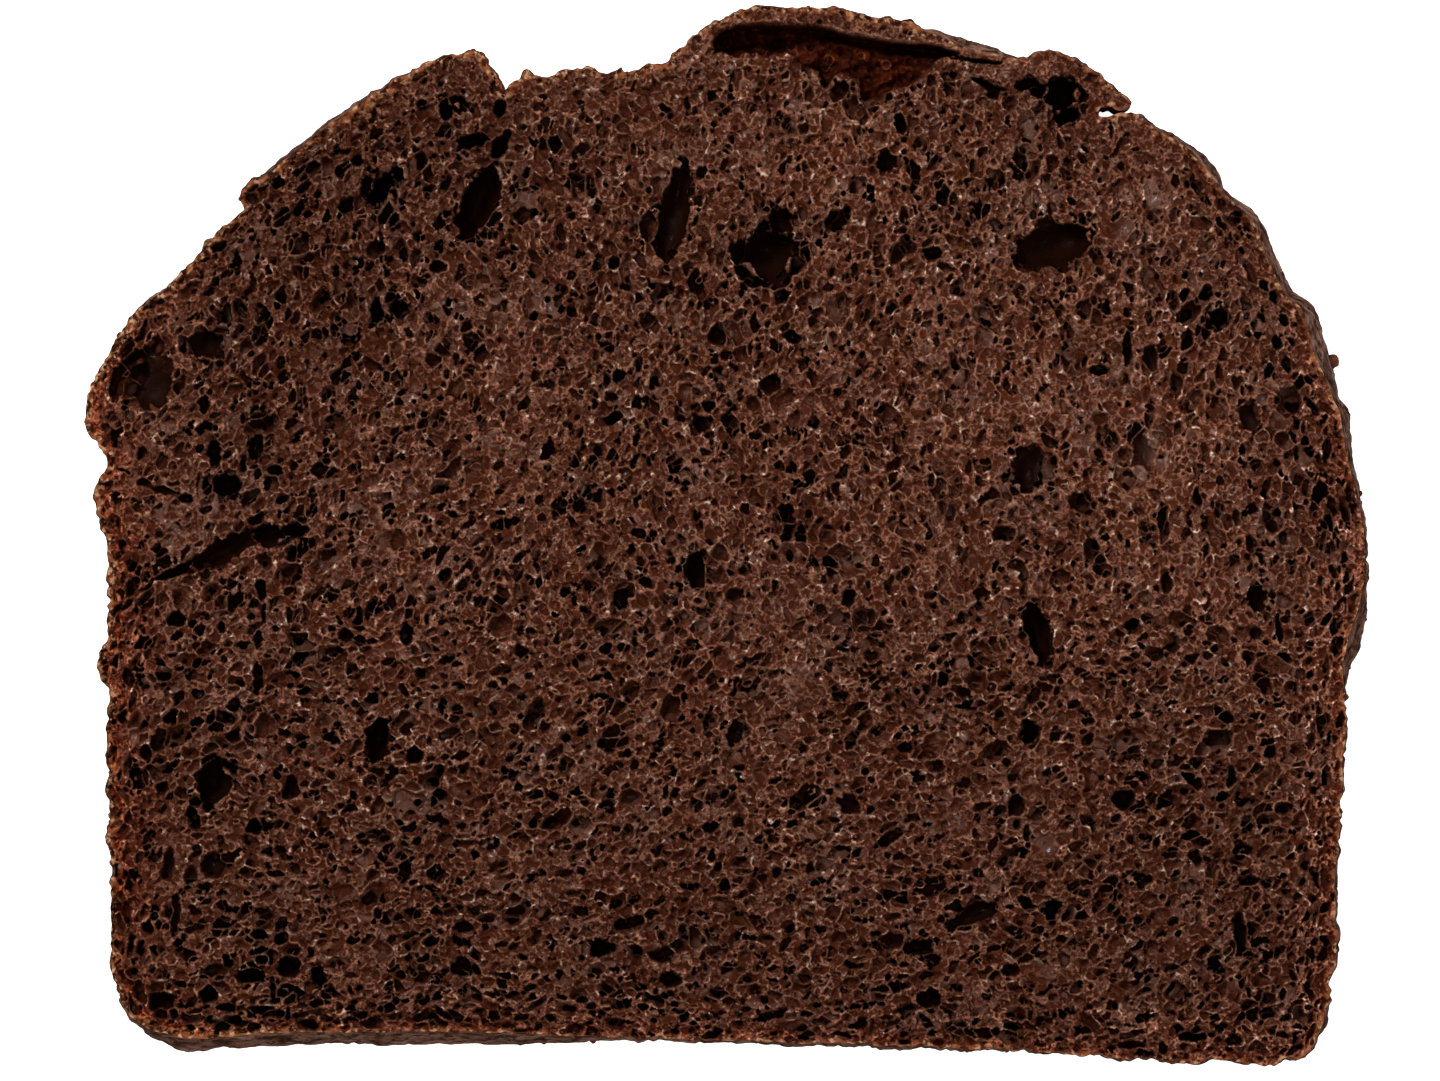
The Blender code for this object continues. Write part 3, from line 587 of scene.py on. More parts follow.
class Bubbles:
    """Ellipsoidal bubbles, the small ones first."""

    def __init__(self):
        self.table = np.empty((0, 8))

    def add(self, x, y, z, radius, lie=0.0, stretch=1.0, tall=1.0, shut=0.0):
        """Adds bubbles: middles, radii, turn, length by width, height by radius, and their mark."""
        columns = np.broadcast_arrays(x, y, z, radius, lie, np.sqrt(stretch), tall, shut)
        self.table = np.concatenate([self.table, np.column_stack([np.ravel(c) for c in columns])])
        self.table = self.table[np.argsort(self.table[:, 3], kind="stable")]
        self.x, self.y, self.z, self.radius, lie, self.stretch, self.tall, self.shut = (
            np.ascontiguousarray(column, np.float32) for column in self.table.T
        )
        self.cos, self.sin = np.cos(lie), np.sin(lie)

    def clear(self, x, y, width, height, tilt):
        """Takes out the bubbles whose middles lie within a hole."""
        dx, dy = self.table[:, 0] - x, self.table[:, 1] - y
        cos, sin = math.cos(math.radians(tilt)), math.sin(math.radians(tilt))
        across, up = (dx * cos + dy * sin) / width, (dy * cos - dx * sin) / height
        self.table = self.table[across**2 + up**2 > CLEARED / 4]

    def near_cut(self):
        """Which bubbles come near enough to the cut to shape it."""
        return np.abs(self.z) < self.radius * self.tall + NEAR_CUT

    def offset(self, which, x, y, z):
        """Places relative to their bubbles' middles, along the bubbles' own axes."""
        dx, dy = x - self.x[which], y - self.y[which]
        u = (dx * self.cos[which] + dy * self.sin[which]) / self.stretch[which]
        v = (dy * self.cos[which] - dx * self.sin[which]) * self.stretch[which]
        return u, v, (z - self.z[which]) / self.tall[which]

    def floor(self, which, x, y):
        """Height of the lower skin of a bubble, which flattens towards its rim."""
        u, v, _ = self.offset(which, x, y, 0.0)
        share = (u * u + v * v) / self.radius[which] ** 2
        drop = self.tall[which] * self.radius[which] * (1 - share * (FLOOR_RISE + FLOOR_CURL * share))
        return self.z[which] - drop

    def slope(self, which, x, y, z):
        """How fast the distance to the skin grows along x and y."""
        u, v, w = self.offset(which, x, y, z)
        length = np.sqrt(u * u + v * v + w * w) + 1e-6
        u, v = u / self.stretch[which] / length, v * self.stretch[which] / length
        return u * self.cos[which] - v * self.sin[which], u * self.sin[which] + v * self.cos[which]


class Crumb:
    """The bubbles of one cut face and the surface that the knife leaves of them."""

    def __init__(self, sheet, settings, seed):
        self.sheet, self.settings, self.seed = sheet, settings, seed
        x, y = sheet.x, sheet.y
        warp = settings.warp / MM
        self.x = (x + warp * waves(x, y, seed + 11, *WARP_WAVES)).astype(np.float32)
        self.y = (y + warp * waves(x, y, seed + 21, *WARP_WAVES)).astype(np.float32)
        cut = settings.torn_height / MM * waves(x, y, seed + 30, *CUT_WAVES)
        self.cut = (cut * ramp(sheet.edge, 0.2, 1.6)).astype(np.float32)
        self.bubbles = Bubbles()
        self.add_small_bubbles()

    def flow(self, x, y):
        """Which way bubbles lie at each place, how far they are drawn out, and how far in it is."""
        sheet = self.sheet
        edge = sheet.at(sheet.edge, x, y)
        along = sheet.at(sheet.field.angle, x, y)
        near = fade(edge, 1.0, EDGE_REACH)
        rising = math.pi / 2 + FAN * x / SIDE
        inner = np.where(y > RISING_FROM, rising, 0.0) + 0.8 * wavy(x, y, 18.0, self.seed + 41)
        a = near * np.cos(2 * along) + INNER_PULL * (1 - near) * np.cos(2 * inner)
        b = near * np.sin(2 * along) + INNER_PULL * (1 - near) * np.sin(2 * inner)
        return 0.5 * np.arctan2(b, a), 1.1 + 1.1 * np.hypot(a, b), edge

    def add_small_bubbles(self):
        """The bubbles of every size that fill the crumb, in rows with each one moved at random."""
        rng = np.random.default_rng(self.seed)
        sheet = self.sheet
        for name, (gap, smallest, largest, share, patchy, deepest) in BUBBLE_SIZES.items():
            axes = [
                np.arange(sheet.x.min(), sheet.x.max(), gap),
                np.arange(sheet.y.min(), sheet.y.max(), gap),
                np.arange(-deepest, HIGHEST_MIDDLE, gap),
            ]
            x, y, z = (grid.ravel() for grid in np.meshgrid(*axes, indexing="ij"))
            x, y, z = (c + gap * JITTER * (rng.random(len(c)) - 0.5) for c in (x, y, z))
            radius = smallest + (largest - smallest) * rng.random(len(x))
            lie, stretch, edge = self.flow(x, y)
            brim = fade(edge, 2.5, 5.5) * fade(y, *TORN_TOP)
            lie = lie + (0.5 - 0.25 * brim) * rng.standard_normal(len(x))
            stretch = 1 + (stretch - 1) * (0.4 + 1.2 * rng.random(len(x)))
            radius = radius * (0.7 + 0.3 * ramp(edge, 0.5, 5.0) + 0.3 * brim)
            chance = share * (1 + patchy * wavy(x, y, PATCH_LENGTH, self.seed + 91))
            if name == "large":
                chance = chance * ramp(edge, 2.0, 6.0)
            if name == "tiny":
                chance = chance * fade(edge, 1.5, 4.5) * (1 - 0.5 * brim)
            keep = (rng.random(len(x)) < chance) & (edge > CRUST_BAND + 0.4 * radius)
            tall = np.where(radius > SMALLEST_OPEN, 1.15, 1.0)
            self.bubbles.add(*(c[keep] for c in (x, y, z, radius, lie, stretch, tall)))

    def depth_share(self):
        """How deep the cells are at each place, as a share of the depth that their bubbles give."""
        x, y, edge = self.sheet.x, self.sheet.y, self.sheet.edge
        patches = waves(x, y, self.seed + 92, (0.3, 9.0), (0.25, 4.0))
        left_wall = 0.15 * ramp(-x, 30.0, 58.0)
        base = 0.3 * ramp(-y, 0.0, 35.0)
        left_shoulder = ramp(y - x, 35.0, 65.0) * (0.35 - 0.55 * ramp(-x, 40.0, 54.0))
        right_of_middle = 0.2 * fade(np.hypot(x - 27.0, y - 16.0), 6.0, 24.0)
        near_crust = 0.8 * fade(edge, 1.0, 4.0) * (1 - 0.6 * ramp(x + y, 0.0, 60.0))
        near_crust = near_crust * (1 - 0.8 * ramp(y, *TORN_TOP))
        return 1.0 + patches + (left_wall + base + left_shoulder - right_of_middle) + near_crust

    def painted_light_share(self, pocket):
        """How light the crumb is painted at each place, as a share of the tone that its relief gives: painted
        light and shade, darker towards the base, the left shoulder, the lower right corner and next to the
        crust, lighter on the right shoulder, in random patches.
        """
        x, y, edge = self.sheet.x, self.sheet.y, self.sheet.edge
        base = 0.24 * ramp(-y, 10.0, 40.0)
        right_shoulder = 0.22 * ramp(x + y, 20.0, 55.0)
        left_shoulder = 0.3 * ramp(y - x, 30.0, 60.0) * (1 - 0.5 * ramp(-x, 40.0, 54.0))
        right_corner = 0.26 * ramp(x - y, 50.0, 80.0)
        darker = (base - right_shoulder) + (left_shoulder + right_corner)
        darker = darker * (0.3 + 0.7 * ramp(edge, 1.5, 7.0))
        near_crust = 0.2 * fade(edge, 1.0, EDGE_REACH) * fade(x, 30.0, 50.0) * fade(y, 43.0, 47.0)
        near_right = 0.22 * fade(edge, 4.0, 8.0) * ramp(x + 0.8 * y, 40.0, 52.0) * ramp(y, 10.0, 20.0)
        patches = waves(x, y, self.seed + 94, (0.12, 14.0), (0.1, 6.0))
        light = 1 - darker - (near_crust + near_right) + patches
        # Painted shade deep in the hollow under the lifted crust.
        return light * (1 - 0.85 * ramp(pocket, 1.0, 3.0))

    def nearest(self, z, reach, skip=(), select=None):
        """The bubble whose skin is nearest to, or furthest outside, each place, and how far."""
        bubbles, step = self.bubbles, self.sheet.step
        nx, ny = self.x.shape
        best = np.full(nx * ny, NO_KEY)
        places = [values.ravel() for values in (self.x, self.y, z.astype(np.float32))]
        skip = [s.ravel() for s in skip]
        span = (bubbles.radius + reach) * bubbles.stretch + WARP_MARGIN
        which = np.argsort(span)
        if select is not None:
            which = which[select[which]]
        i0 = np.rint((bubbles.x - self.sheet.x[1, 1]) / step).astype(int) + 1
        j0 = np.rint((bubbles.y - self.sheet.y[1, 1]) / step).astype(int) + 1
        groups = []
        while len(which):
            n = math.ceil(span[which[-1]] / step)
            count = max(1, BATCH // (2 * n + 1) ** 2)
            groups.append((which[-count:], n))
            which = which[:-count]

        def measure(group, n):
            window = np.arange(-n, n + 1)
            owner = group[:, None, None]
            i, j = i0[owner] + window[None, :, None], j0[owner] + window[None, None, :]
            cell = np.clip(i, 0, nx - 1) * ny + np.clip(j, 0, ny - 1)
            u, v, w = bubbles.offset(owner, *(place[cell] for place in places))
            far = np.sqrt(u * u + v * v + w * w) - bubbles.radius[owner]
            good = (far < reach) & (i >= 0) & (i < nx) & (j >= 0) & (j < ny)
            for other in skip:
                good &= other[cell] != owner
            owner = np.broadcast_to(owner, good.shape)[good]
            return cell[good], ((far[good] + KEY_SHIFT) * KEY_STEPS).astype(np.int64) * LABELS + owner

        with ThreadPoolExecutor(THREADS) as pool:
            for cell, key in pool.map(lambda job: measure(*job), groups):
                np.minimum.at(best, cell, key)
        none = best == NO_KEY
        label = np.where(none, -1, best % LABELS).reshape(nx, ny)
        far = np.where(none, FAR, best // LABELS / KEY_STEPS - KEY_SHIFT).reshape(nx, ny)
        return label, far

    def cells(self, z, reach, skip=(), select=None):
        """The two nearest bubbles, and the way along the face to the wall between them."""
        first, far = self.nearest(z, reach, skip, select)
        second, further = self.nearest(z, reach, (*skip, first), select)
        a, b = np.maximum(first, 0), np.maximum(second, 0)
        ax, ay = self.bubbles.slope(a, self.x, self.y, z)
        bx, by = self.bubbles.slope(b, self.x, self.y, z)
        gx, gy = bx - ax, by - ay
        steepness = np.sqrt(gx * gx + gy * gy) + FLATTEST
        wall = np.where(second < 0, FAR, (further - far) / steepness)
        return first, far, second, wall, -wall * gx / steepness, -wall * gy / steepness

    def fill_gaps(self):
        """Puts a small bubble in each gap that the others leave at the cut."""
        rng = np.random.default_rng(self.seed + 50)
        for _ in range(FILL_ROUNDS):
            label, far = self.nearest(self.cut, GAP_REACH, select=self.bubbles.near_cut())
            far = np.where(label < 0, GAP_REACH, far)
            padded = np.pad(far, PEAK_WINDOW, mode="edge")
            highest = far
            for i in range(2 * PEAK_WINDOW + 1):
                for j in range(2 * PEAK_WINDOW + 1):
                    highest = np.maximum(highest, padded[i:i + far.shape[0], j:j + far.shape[1]])
            peak = (far >= highest) & (far > SMALLEST_GAP) & (self.sheet.edge > CRUST_BAND + 0.25)
            radius = far[peak] + FILLER_OVERLAP
            sink = radius * (0.9 * rng.random(len(radius)) - 0.6)
            self.bubbles.add(
                self.x[peak], self.y[peak], self.cut[peak] + sink, radius,
                rng.random(len(radius)) * math.pi, 1 + 0.3 * rng.random(len(radius)),
            )

    def surface(self):
        """Heights of the torn face, the shift of each point to its wall, and masks: line, film, hole."""
        settings, bubbles, cut = self.settings, self.bubbles, self.cut
        self.fill_gaps()
        first, far, second, wall, sx, sy = self.cells(cut, CELL_REACH, select=bubbles.near_cut())
        a, b = np.maximum(first, 0), np.maximum(second, 0)
        solid = (first < 0) | (far > SOLID_FROM)
        z = np.where(solid, cut, np.minimum(bubbles.floor(a, self.x, self.y), cut))
        bowl = BOWL_DEPTH * (1 - np.exp(-np.maximum(wall, 0) / BOWL_SLOPE))
        bowl = bowl * ramp(self.sheet.edge, 0.1, 0.6)
        z = np.where(second >= 0, np.minimum(z, cut - bowl), z)
        joined = (bubbles.shut[a] < CUP) & (bubbles.shut[b] < CUP) & (second >= 0) & ~solid
        z = np.where(joined, np.minimum(z, bubbles.floor(b, self.x, self.y)), z)
        notches = np.maximum(wavy(self.sheet.x, self.sheet.y, NOTCH_LENGTH, self.seed + 66), 0)
        crest = cut - settings.crest_drop / MM * pair_chance(a, b, CREST_SALT) ** 1.5
        crest = crest - NOTCH_DEPTH * notches
        half = 0.5 * settings.wall / MM
        torn = (wall < half) & (second >= 0) & ~solid & ~joined & (crest > z)
        fixed, height = torn.copy(), np.where(torn, crest, -np.inf)
        # The line mask marks pale torn edges: partly their own paler colour, partly a painted highlight,
        # fading into painted shade below the cut and on the lower ribs.
        line = np.where(torn, np.clip(1 - (cut - crest) / DARK_FROM, 0.15, 1), 0.0)
        beside = wall < BESIDE * self.sheet.step
        shift_x, shift_y = np.where(beside, sx, 0), np.where(beside, sy, 0)
        film, current, done = np.zeros_like(z), a, solid.copy()
        for _ in range(settings.layers):
            first, far, second, wall, sx, sy = self.cells(z, 0.0, (current,))
            m = np.maximum(first, 0)
            meets = (first >= 0) & ~done & (bubbles.z[m] < bubbles.z[current])
            chance = pair_chance(current, m, FILM_SALT)
            opened = meets & (far < -OVERLAP) & (chance > settings.shut_share)
            opened &= (bubbles.shut[current] < FILMED / 2) & (bubbles.radius[current] > SMALLEST_OPEN)
            shut = meets & ~opened
            film[shut] = 1.0
            rib = opened & (wall < RIB_WIDTH * half) & (second >= 0) & ~fixed
            height[rib] = (z - RIB_DROP * pair_chance(m, np.maximum(second, 0), RIB_SALT))[rib]
            line[rib] = RIB_BRIGHTNESS
            shift_x[rib], shift_y[rib] = sx[rib], sy[rib]
            fixed |= rib
            below = np.where(opened, np.minimum(bubbles.floor(m, self.x, self.y), z), z)
            z = np.where(shut, self.skin(current, m, z), below)
            current = np.where(opened, m, current)
            done |= ~opened
        film = np.maximum(film, np.maximum(bubbles.shut[a], 0) * ~solid)
        z = np.where(fixed, np.maximum(z, height), z)
        return z, shift_x, shift_y, line, film * ~fixed, bubbles.shut[a] < 0

    def skin(self, upper, lower, z):
        """Height of the film between two bubbles, one under the other."""
        bubbles = self.bubbles
        u, v, _ = bubbles.offset(upper, self.x, self.y, 0.0)
        s, t, _ = bubbles.offset(lower, self.x, self.y, 0.0)
        high, low = bubbles.z[upper], bubbles.z[lower]
        gap = s * s + t * t - bubbles.radius[lower] ** 2 - u * u - v * v + bubbles.radius[upper] ** 2
        fall = 2 * np.minimum(low - high, -LEAST_FALL)
        return np.clip((gap + low**2 - high**2) / fall, z, self.cut)


def axes_of(width, height, tilt):
    """Which way an ellipse lies, half its length and width, and the radius of a circle as large."""
    lie = math.radians(tilt if width >= height else tilt + 90)
    long, short = max(width, height) / 2, min(width, height) / 2
    return lie, long, short, math.sqrt(long * short)


def open_holes(crumb, middle):
    """The holes and the filmed-over cups that this slice shows on its upper face."""
    rng = np.random.default_rng(SEED + 7)
    for x, y, width, height, tilt, *_ in HOLES + CUPS + FILMS:
        crumb.bubbles.clear(x - middle[0], y - middle[1], width, height, tilt)
    for x, y, width, height, tilt, depth in HOLES:
        lie, long, short, radius = axes_of(width, height, tilt)
        x, y = x - middle[0], y - middle[1]
        crumb.bubbles.add(x, y, -0.3 * radius, radius * 1.05, lie, long / short, depth / radius, HOLE_PART)
        turns = (np.arange(HOLE_LOBES) + rng.random(HOLE_LOBES)) * 2 * math.pi / HOLE_LOBES
        reach = 0.75 + 0.25 * rng.random(HOLE_LOBES)
        u, v = reach * long * np.cos(turns), reach * short * np.sin(turns)
        crumb.bubbles.add(
            x + u * math.cos(lie) - v * math.sin(lie), y + u * math.sin(lie) + v * math.cos(lie),
            -0.3 * rng.random(HOLE_LOBES), short * (0.3 + 0.35 * rng.random(HOLE_LOBES)),
            rng.random(HOLE_LOBES) * math.pi, 1.3, 2.0, HOLE_PART,
        )
    for x, y, width, height, tilt in CUPS:
        lie, long, short, radius = axes_of(width, height, tilt)
        depth = 1.3 + 1.4 * rng.random()
        crumb.bubbles.add(
            x - middle[0], y - middle[1], -0.1, radius * 1.12, lie, long / short, depth / radius, CUP
        )
    for x, y, width, height, tilt in FILMS:
        lie, long, short, radius = axes_of(width, height, tilt)
        radius *= 1.25
        crumb.bubbles.add(x - middle[0], y - middle[1], 0.3, radius, lie, long / short, 0.75 / radius, FILMED)


def pocket_shape(sheet, middle):
    """How deep the hollow under the lifted crust is at each place, and its pale beads and lip, whose paleness
    is partly a painted highlight.
    """
    edge = spline_points([(x, y, 0.0) for x, y in POCKET_LIP + POCKET_SILL], OUTLINE_STEP)[:, :2] - middle
    within = LoopField(edge, sheet.x, sheet.y, POCKET_REACH).distance
    under = np.interp(sheet.x, *(np.array(POCKET_LIP) - middle).T) - sheet.y
    rough = waves(sheet.x, sheet.y, SEED + 70, (1.0, 1.1), (0.7, 0.5))
    within = within + rough * (0.06 + 0.22 * ramp(under, 0.4, 1.4))
    left = fade(sheet.x, 5.0, 9.0)
    deep = POCKET_DEPTH - POCKET_RISE * ramp(under, 0.5 + 1.2 * left, 1.6 + 1.2 * left)
    ledges = wavy(sheet.x / 2.0, sheet.y, 0.9, SEED + 72) + 0.5 * wavy(sheet.x, sheet.y, 0.6, SEED + 73)
    depth = ramp(within, 0.0, POCKET_SLOPE) * (deep + 1.5 * ledges)
    beads = np.zeros_like(depth)
    for x, y, radius in POCKET_RINGS:
        far = np.abs(np.hypot(sheet.x - x + middle[0], sheet.y - y + middle[1]) - radius)
        beads = np.maximum(beads, fade(far, 0.04, 0.16))
    lip = fade(np.abs(within), 0.05, 0.22) * (under < 0.6) * ramp(sheet.x, 8.0, 11.0)
    for start, end in PALE_EDGES:
        x, y = sheet.x - start[0] + middle[0], sheet.y - start[1] + middle[1]
        run, rise = end[0] - start[0], end[1] - start[1]
        share = np.clip((x * run + y * rise) / (run * run + rise * rise), 0, 1)
        far = np.hypot(x - share * run, y - share * rise) + 0.1 * rough
        lip = np.maximum(lip, 0.8 - 0.8 * ramp(far, 0.08, 0.28))
    return np.maximum(depth - 0.5 * beads, 0), np.maximum(0.45 * beads, lip)


def blurred(values, rounds):
    """Values of a grid, evened out with their neighbours a number of times."""
    for _ in range(rounds):
        for axis in (0, 1):
            values = (np.roll(values, 1, axis) + 2 * values + np.roll(values, -1, axis)) / 4
    return values


def rind_share(sheet):
    """How much the crumb takes the colour of the crust: most at the left wall, least at the top."""
    left = ramp(-sheet.x, 45.0, 57.0) * ramp(30.0 - sheet.y, 0.0, 15.0)
    low = ramp(30.0 - sheet.y, 0.0, 25.0)
    rim = 0.3 * fade(sheet.edge, 1.5, 6.0) + 0.7 * fade(sheet.edge, 0.4, 1.6)
    return rim * (0.08 + 0.27 * low + 0.65 * left)


def rim_share(sheet):
    """How much a place belongs to the orange rim, which is widest at the left wall and the tears."""
    x, y = sheet.x, sheet.y
    left = ramp(-x, 40.0, 50.0)
    torn = ramp(y, 36.0, 41.0) * ramp(-x, 3.0, 6.0)
    flap = 0.5 * ramp(y, 46.0, 48.0) * ramp(x, -3.0, 0.0) * fade(x, 22.0, 26.0)
    torn = np.maximum(torn, flap)
    width = 0.45 + 0.5 * np.maximum(left, torn) + 0.5 * flap
    inward = sheet.edge + 0.3 * wavy(x, y, 0.9, SEED + 75)
    return (0.75 + 0.2 * np.maximum(left, torn)) * fade(inward, 0.4 * width, width)


def tone(z, cut, relief):
    """How light a place is painted, from 0 in the pits to 1 on the crests: partly the cut walls' own paler
    colour, partly painted shade that deepens below the cut and painted light on the ridges of the relief.
    """
    return 0.55 * np.exp(-np.maximum(cut - z, 0) / 0.3) + 0.45 * np.clip(0.5 + relief / 0.6, 0, 1)


def without_spikes(z):
    """Pulls lone high and low points back to their neighbours."""
    beside = [np.roll(z, (i, j), (0, 1)) for i in (-1, 0, 1) for j in (-1, 0, 1) if i or j]
    beside = np.sort(np.stack(beside), axis=0)
    return np.clip(z, beside[1], beside[-2])


def triangles(corners, points):
    """Both halves of each quad, split along its more level diagonal."""
    a, b, c, d = corners.T
    height = points[:, 2]
    level = np.abs(height[a] - height[c]) <= np.abs(height[b] - height[d])
    first = np.where(level[:, None], corners[:, [0, 1, 2]], corners[:, [0, 1, 3]])
    second = np.where(level[:, None], corners[:, [0, 2, 3]], corners[:, [1, 2, 3]])
    return np.stack([first, second], axis=1).reshape(-1, 3)


def vertex_normals(points, faces):
    """One normal for each point, so that neighbouring pieces shade as one."""
    a, b, c = (points[faces[:, k]] for k in range(3))
    across = np.cross(b - a, c - a)

    def gathered(axis):
        return sum(np.bincount(faces[:, k], across[:, axis], len(points)) for k in range(3))

    normals = np.stack([gathered(axis) for axis in range(3)], axis=1)
    return normals / (np.linalg.norm(normals, axis=1, keepdims=True) + 1e-12)


def add_piece(name, points, faces, material, masks, flat, normals):
    """A piece of the slice from millimetre points and triangles, with its masks and flat map."""
    used, faces = np.unique(faces, return_inverse=True)
    faces = faces.reshape(-1, 3)
    mesh = bpy.data.meshes.new(name)
    mesh.vertices.add(len(used))
    mesh.vertices.foreach_set("co", (points[used] * MM).astype(np.float32).ravel())
    mesh.loops.add(faces.size)
    mesh.loops.foreach_set("vertex_index", faces.astype(np.int32).ravel())
    mesh.polygons.add(len(faces))
    mesh.polygons.foreach_set("loop_start", np.arange(0, faces.size, 3, dtype=np.int32))
    mesh.polygons.foreach_set("use_smooth", np.ones(len(faces), bool))
    mesh.update(calc_edges=True)
    for mask, values in masks.items():
        layer = mesh.attributes.new(mask, "FLOAT", "POINT")
        layer.data.foreach_set("value", values[used].astype(np.float32))
    place = flat[used]
    place = (place - place.min(axis=0)) / (np.ptp(place, axis=0).max() + 1e-9)
    layer = mesh.uv_layers.new(name="OFBake")
    layer.data.foreach_set("uv", place[faces.ravel()].astype(np.float32).ravel())
    mesh.normals_split_custom_set_from_vertices(normals[used])
    mesh.materials.append(material)
    piece = bpy.data.objects.new(name, mesh)
    bpy.context.scene.collection.objects.link(piece)
    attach(piece, BODY)
    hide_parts(NODE)


def rim_height(x, y):
    """Height of the crust's cut edge over the cut face."""
    return waves(x, y, SEED + 80, (0.10, 1.1), (0.12, 0.45)) - 0.08


def upper_sheet(settings):
    """The upper cut face's grid, and the middle that the outline was moved from."""
    loop, middle = slice_outline()
    step = settings.upper_step / MM
    return Sheet(ring(loop, 1.0), step), middle


def lower_sheet(settings):
    """The lower cut face's grid."""
    loop, _ = slice_outline()
    loop[:, :2] -= outward(loop) * (BACK_ROUNDING + 0.3 * loop[:, 2])[:, None]
    return Sheet(loop, settings.lower_step / MM)


def add_face(name, sheet, z, masks, tiles, up, material):
    """A cut face in tiles, each small enough to be a piece of its own."""
    nx, ny = z.shape
    points = np.column_stack([sheet.x.ravel(), sheet.y.ravel(), z.ravel()])
    i, j = np.nonzero(sheet.quads)
    a = i * ny + j
    corners = np.column_stack([a, a + ny, a + ny + 1, a + 1])
    if not up:
        corners = corners[:, ::-1]
    faces = triangles(corners, points)
    normals = vertex_normals(points, faces)
    column, row = i * tiles[0] // nx, j * tiles[1] // ny
    tile = np.repeat(column * tiles[1] + row, 2)
    flat = points[:, :2]
    masks = {mask: values.ravel() for mask, values in masks.items()}
    for number in np.unique(tile):
        add_piece(f"{name}_{number}", points, faces[tile == number], material, masks, flat, normals)


def profile_at(share, column):
    """One column of the crust's profile at a share of the thickness."""
    levels = np.array(PROFILE[::-1])
    return np.interp(share, levels[:, 0], levels[:, column])


def ring(loop, share):
    """The outline's flat points at one share of the thickness, without its lumps."""
    missing = profile_at(share, 1)
    rounding = BACK_ROUNDING * fade(share, 0.0, 0.04)
    return loop[:, :2] - outward(loop) * (loop[:, 2:3] * missing + rounding)


def stitch(upper, upper_run, lower, lower_run, total):
    """Triangles between two closed rings that run the same way from about the same place."""
    upper_run = np.append(upper_run, total + upper_run[0])
    lower_run = np.append(lower_run, total + lower_run[0])
    faces, i, j = [], 0, 0
    while i < len(upper) or j < len(lower):
        if j >= len(lower) or (i < len(upper) and upper_run[i + 1] <= lower_run[j + 1]):
            faces.append((upper[i], upper[(i + 1) % len(upper)], lower[j % len(lower)]))
            i += 1
        else:
            faces.append((upper[i % len(upper)], lower[(j + 1) % len(lower)], lower[j]))
            j += 1
    return np.array(faces)


def rim_ring(sheet, z, total):
    """A sheet's rim points and how far along the loop each one is, scaled to a length."""
    run = sheet.field.run[sheet.rim]
    first = int(np.argmin(run))
    points = np.column_stack([values[sheet.rim] for values in (sheet.x, sheet.y, z)])
    run = np.maximum.accumulate(np.roll(run, -first))
    return np.roll(points, -first, axis=0), run * total / sheet.field.total


def crust_noise(places, length, shift):
    """Smooth noise at points in space; the shift picks one stretch of it."""
    return np.array([noise.noise(Vector(place) / length + shift) for place in places])


def crust_rows(loop):
    """Rings of crust points from the upper cut face down, and how deep in a crease each point is."""
    rows, creases = [], []
    crust = np.clip(loop[:, 2] / 0.5, 0.3, 1.0)
    for share in CRUST_SHARES:
        places = np.column_stack([loop[:, :2], np.full(len(loop), THICKNESS * share)])
        lumps = LUMP_HEIGHT * profile_at(share, 2)
        rough = lumps * crust_noise(places, LUMP_LENGTH, LUMP_SHIFT) * crust
        away = ramp(1 - share, 0.0, 0.04) * ramp(share, 0.0, 0.05)
        places[:, 2] += away * 0.3 * crust_noise(places, 1.7, LUMP_SHIFT)
        for height, stretch, length, shift in CRUST_GRAIN:
            rough += away * height * crust_noise(places * stretch, length, shift)
        folds = crust_noise(places * (0.35, 0.35, 1.0), 1.9, 2 * LUMP_SHIFT)
        crease = away * fade(np.abs(folds), 0.0, 0.12)
        rough -= CREASE_DEPTH * crease
        creases.append(crease)
        places[:, :2] = ring(loop, share) + outward(loop) * rough[:, None]
        rows.append(places)
    return rows, np.concatenate(creases)


def node_of(tree, kind, inputs=(), **values):
    """A new node with some of its properties and inputs set."""
    made = tree.nodes.new(kind)
    for name, value in values.items():
        setattr(made, name, value)
    for socket, value in dict(inputs).items():
        made.inputs[socket].default_value = value
    return made


def link_all(tree, *rows):
    """Links, each given as a node and its output, then the next node and its input."""
    for source, output, target, socket in rows:
        tree.links.new(source.outputs[output], target.inputs[socket])


def add_socket(tree, name, kind, value=None, in_out="INPUT"):
    """A socket of a node group, with its default value if it has one."""
    made = tree.interface.new_socket(name, in_out=in_out, socket_type="NodeSocket" + kind)
    if value is not None:
        made.default_value = value


def mottle_group():
    """A noise mask from 0 to 1, for uneven colour, sheen and grain."""
    name = "Mottle"
    if name in bpy.data.node_groups:
        return bpy.data.node_groups[name]
    group = bpy.data.node_groups.new(name, "ShaderNodeTree")
    for socket, value in (("Patches per Metre", 100.0), ("Detail", 3.0), ("Low", 0.35), ("High", 0.65)):
        add_socket(group, socket, "Float", value)
    add_socket(group, "Stretch", "Vector", (1, 1, 1))
    add_socket(group, "Mask", "Float", in_out="OUTPUT")
    given, result = group.nodes.new("NodeGroupInput"), group.nodes.new("NodeGroupOutput")
    place = node_of(group, "ShaderNodeTexCoord")
    mapping = node_of(group, "ShaderNodeMapping")
    pattern = node_of(group, "ShaderNodeTexNoise")
    limits = node_of(group, "ShaderNodeMapRange")
    link_all(
        group,
        (place, "Object", mapping, "Vector"),
        (given, "Stretch", mapping, "Scale"),
        (mapping, "Vector", pattern, "Vector"),
        (given, "Patches per Metre", pattern, "Scale"),
        (given, "Detail", pattern, "Detail"),
        (pattern, "Fac", limits, "Value"),
        (given, "Low", limits, "From Min"),
        (given, "High", limits, "From Max"),
        (limits, "Result", result, "Mask"),
    )
    return group


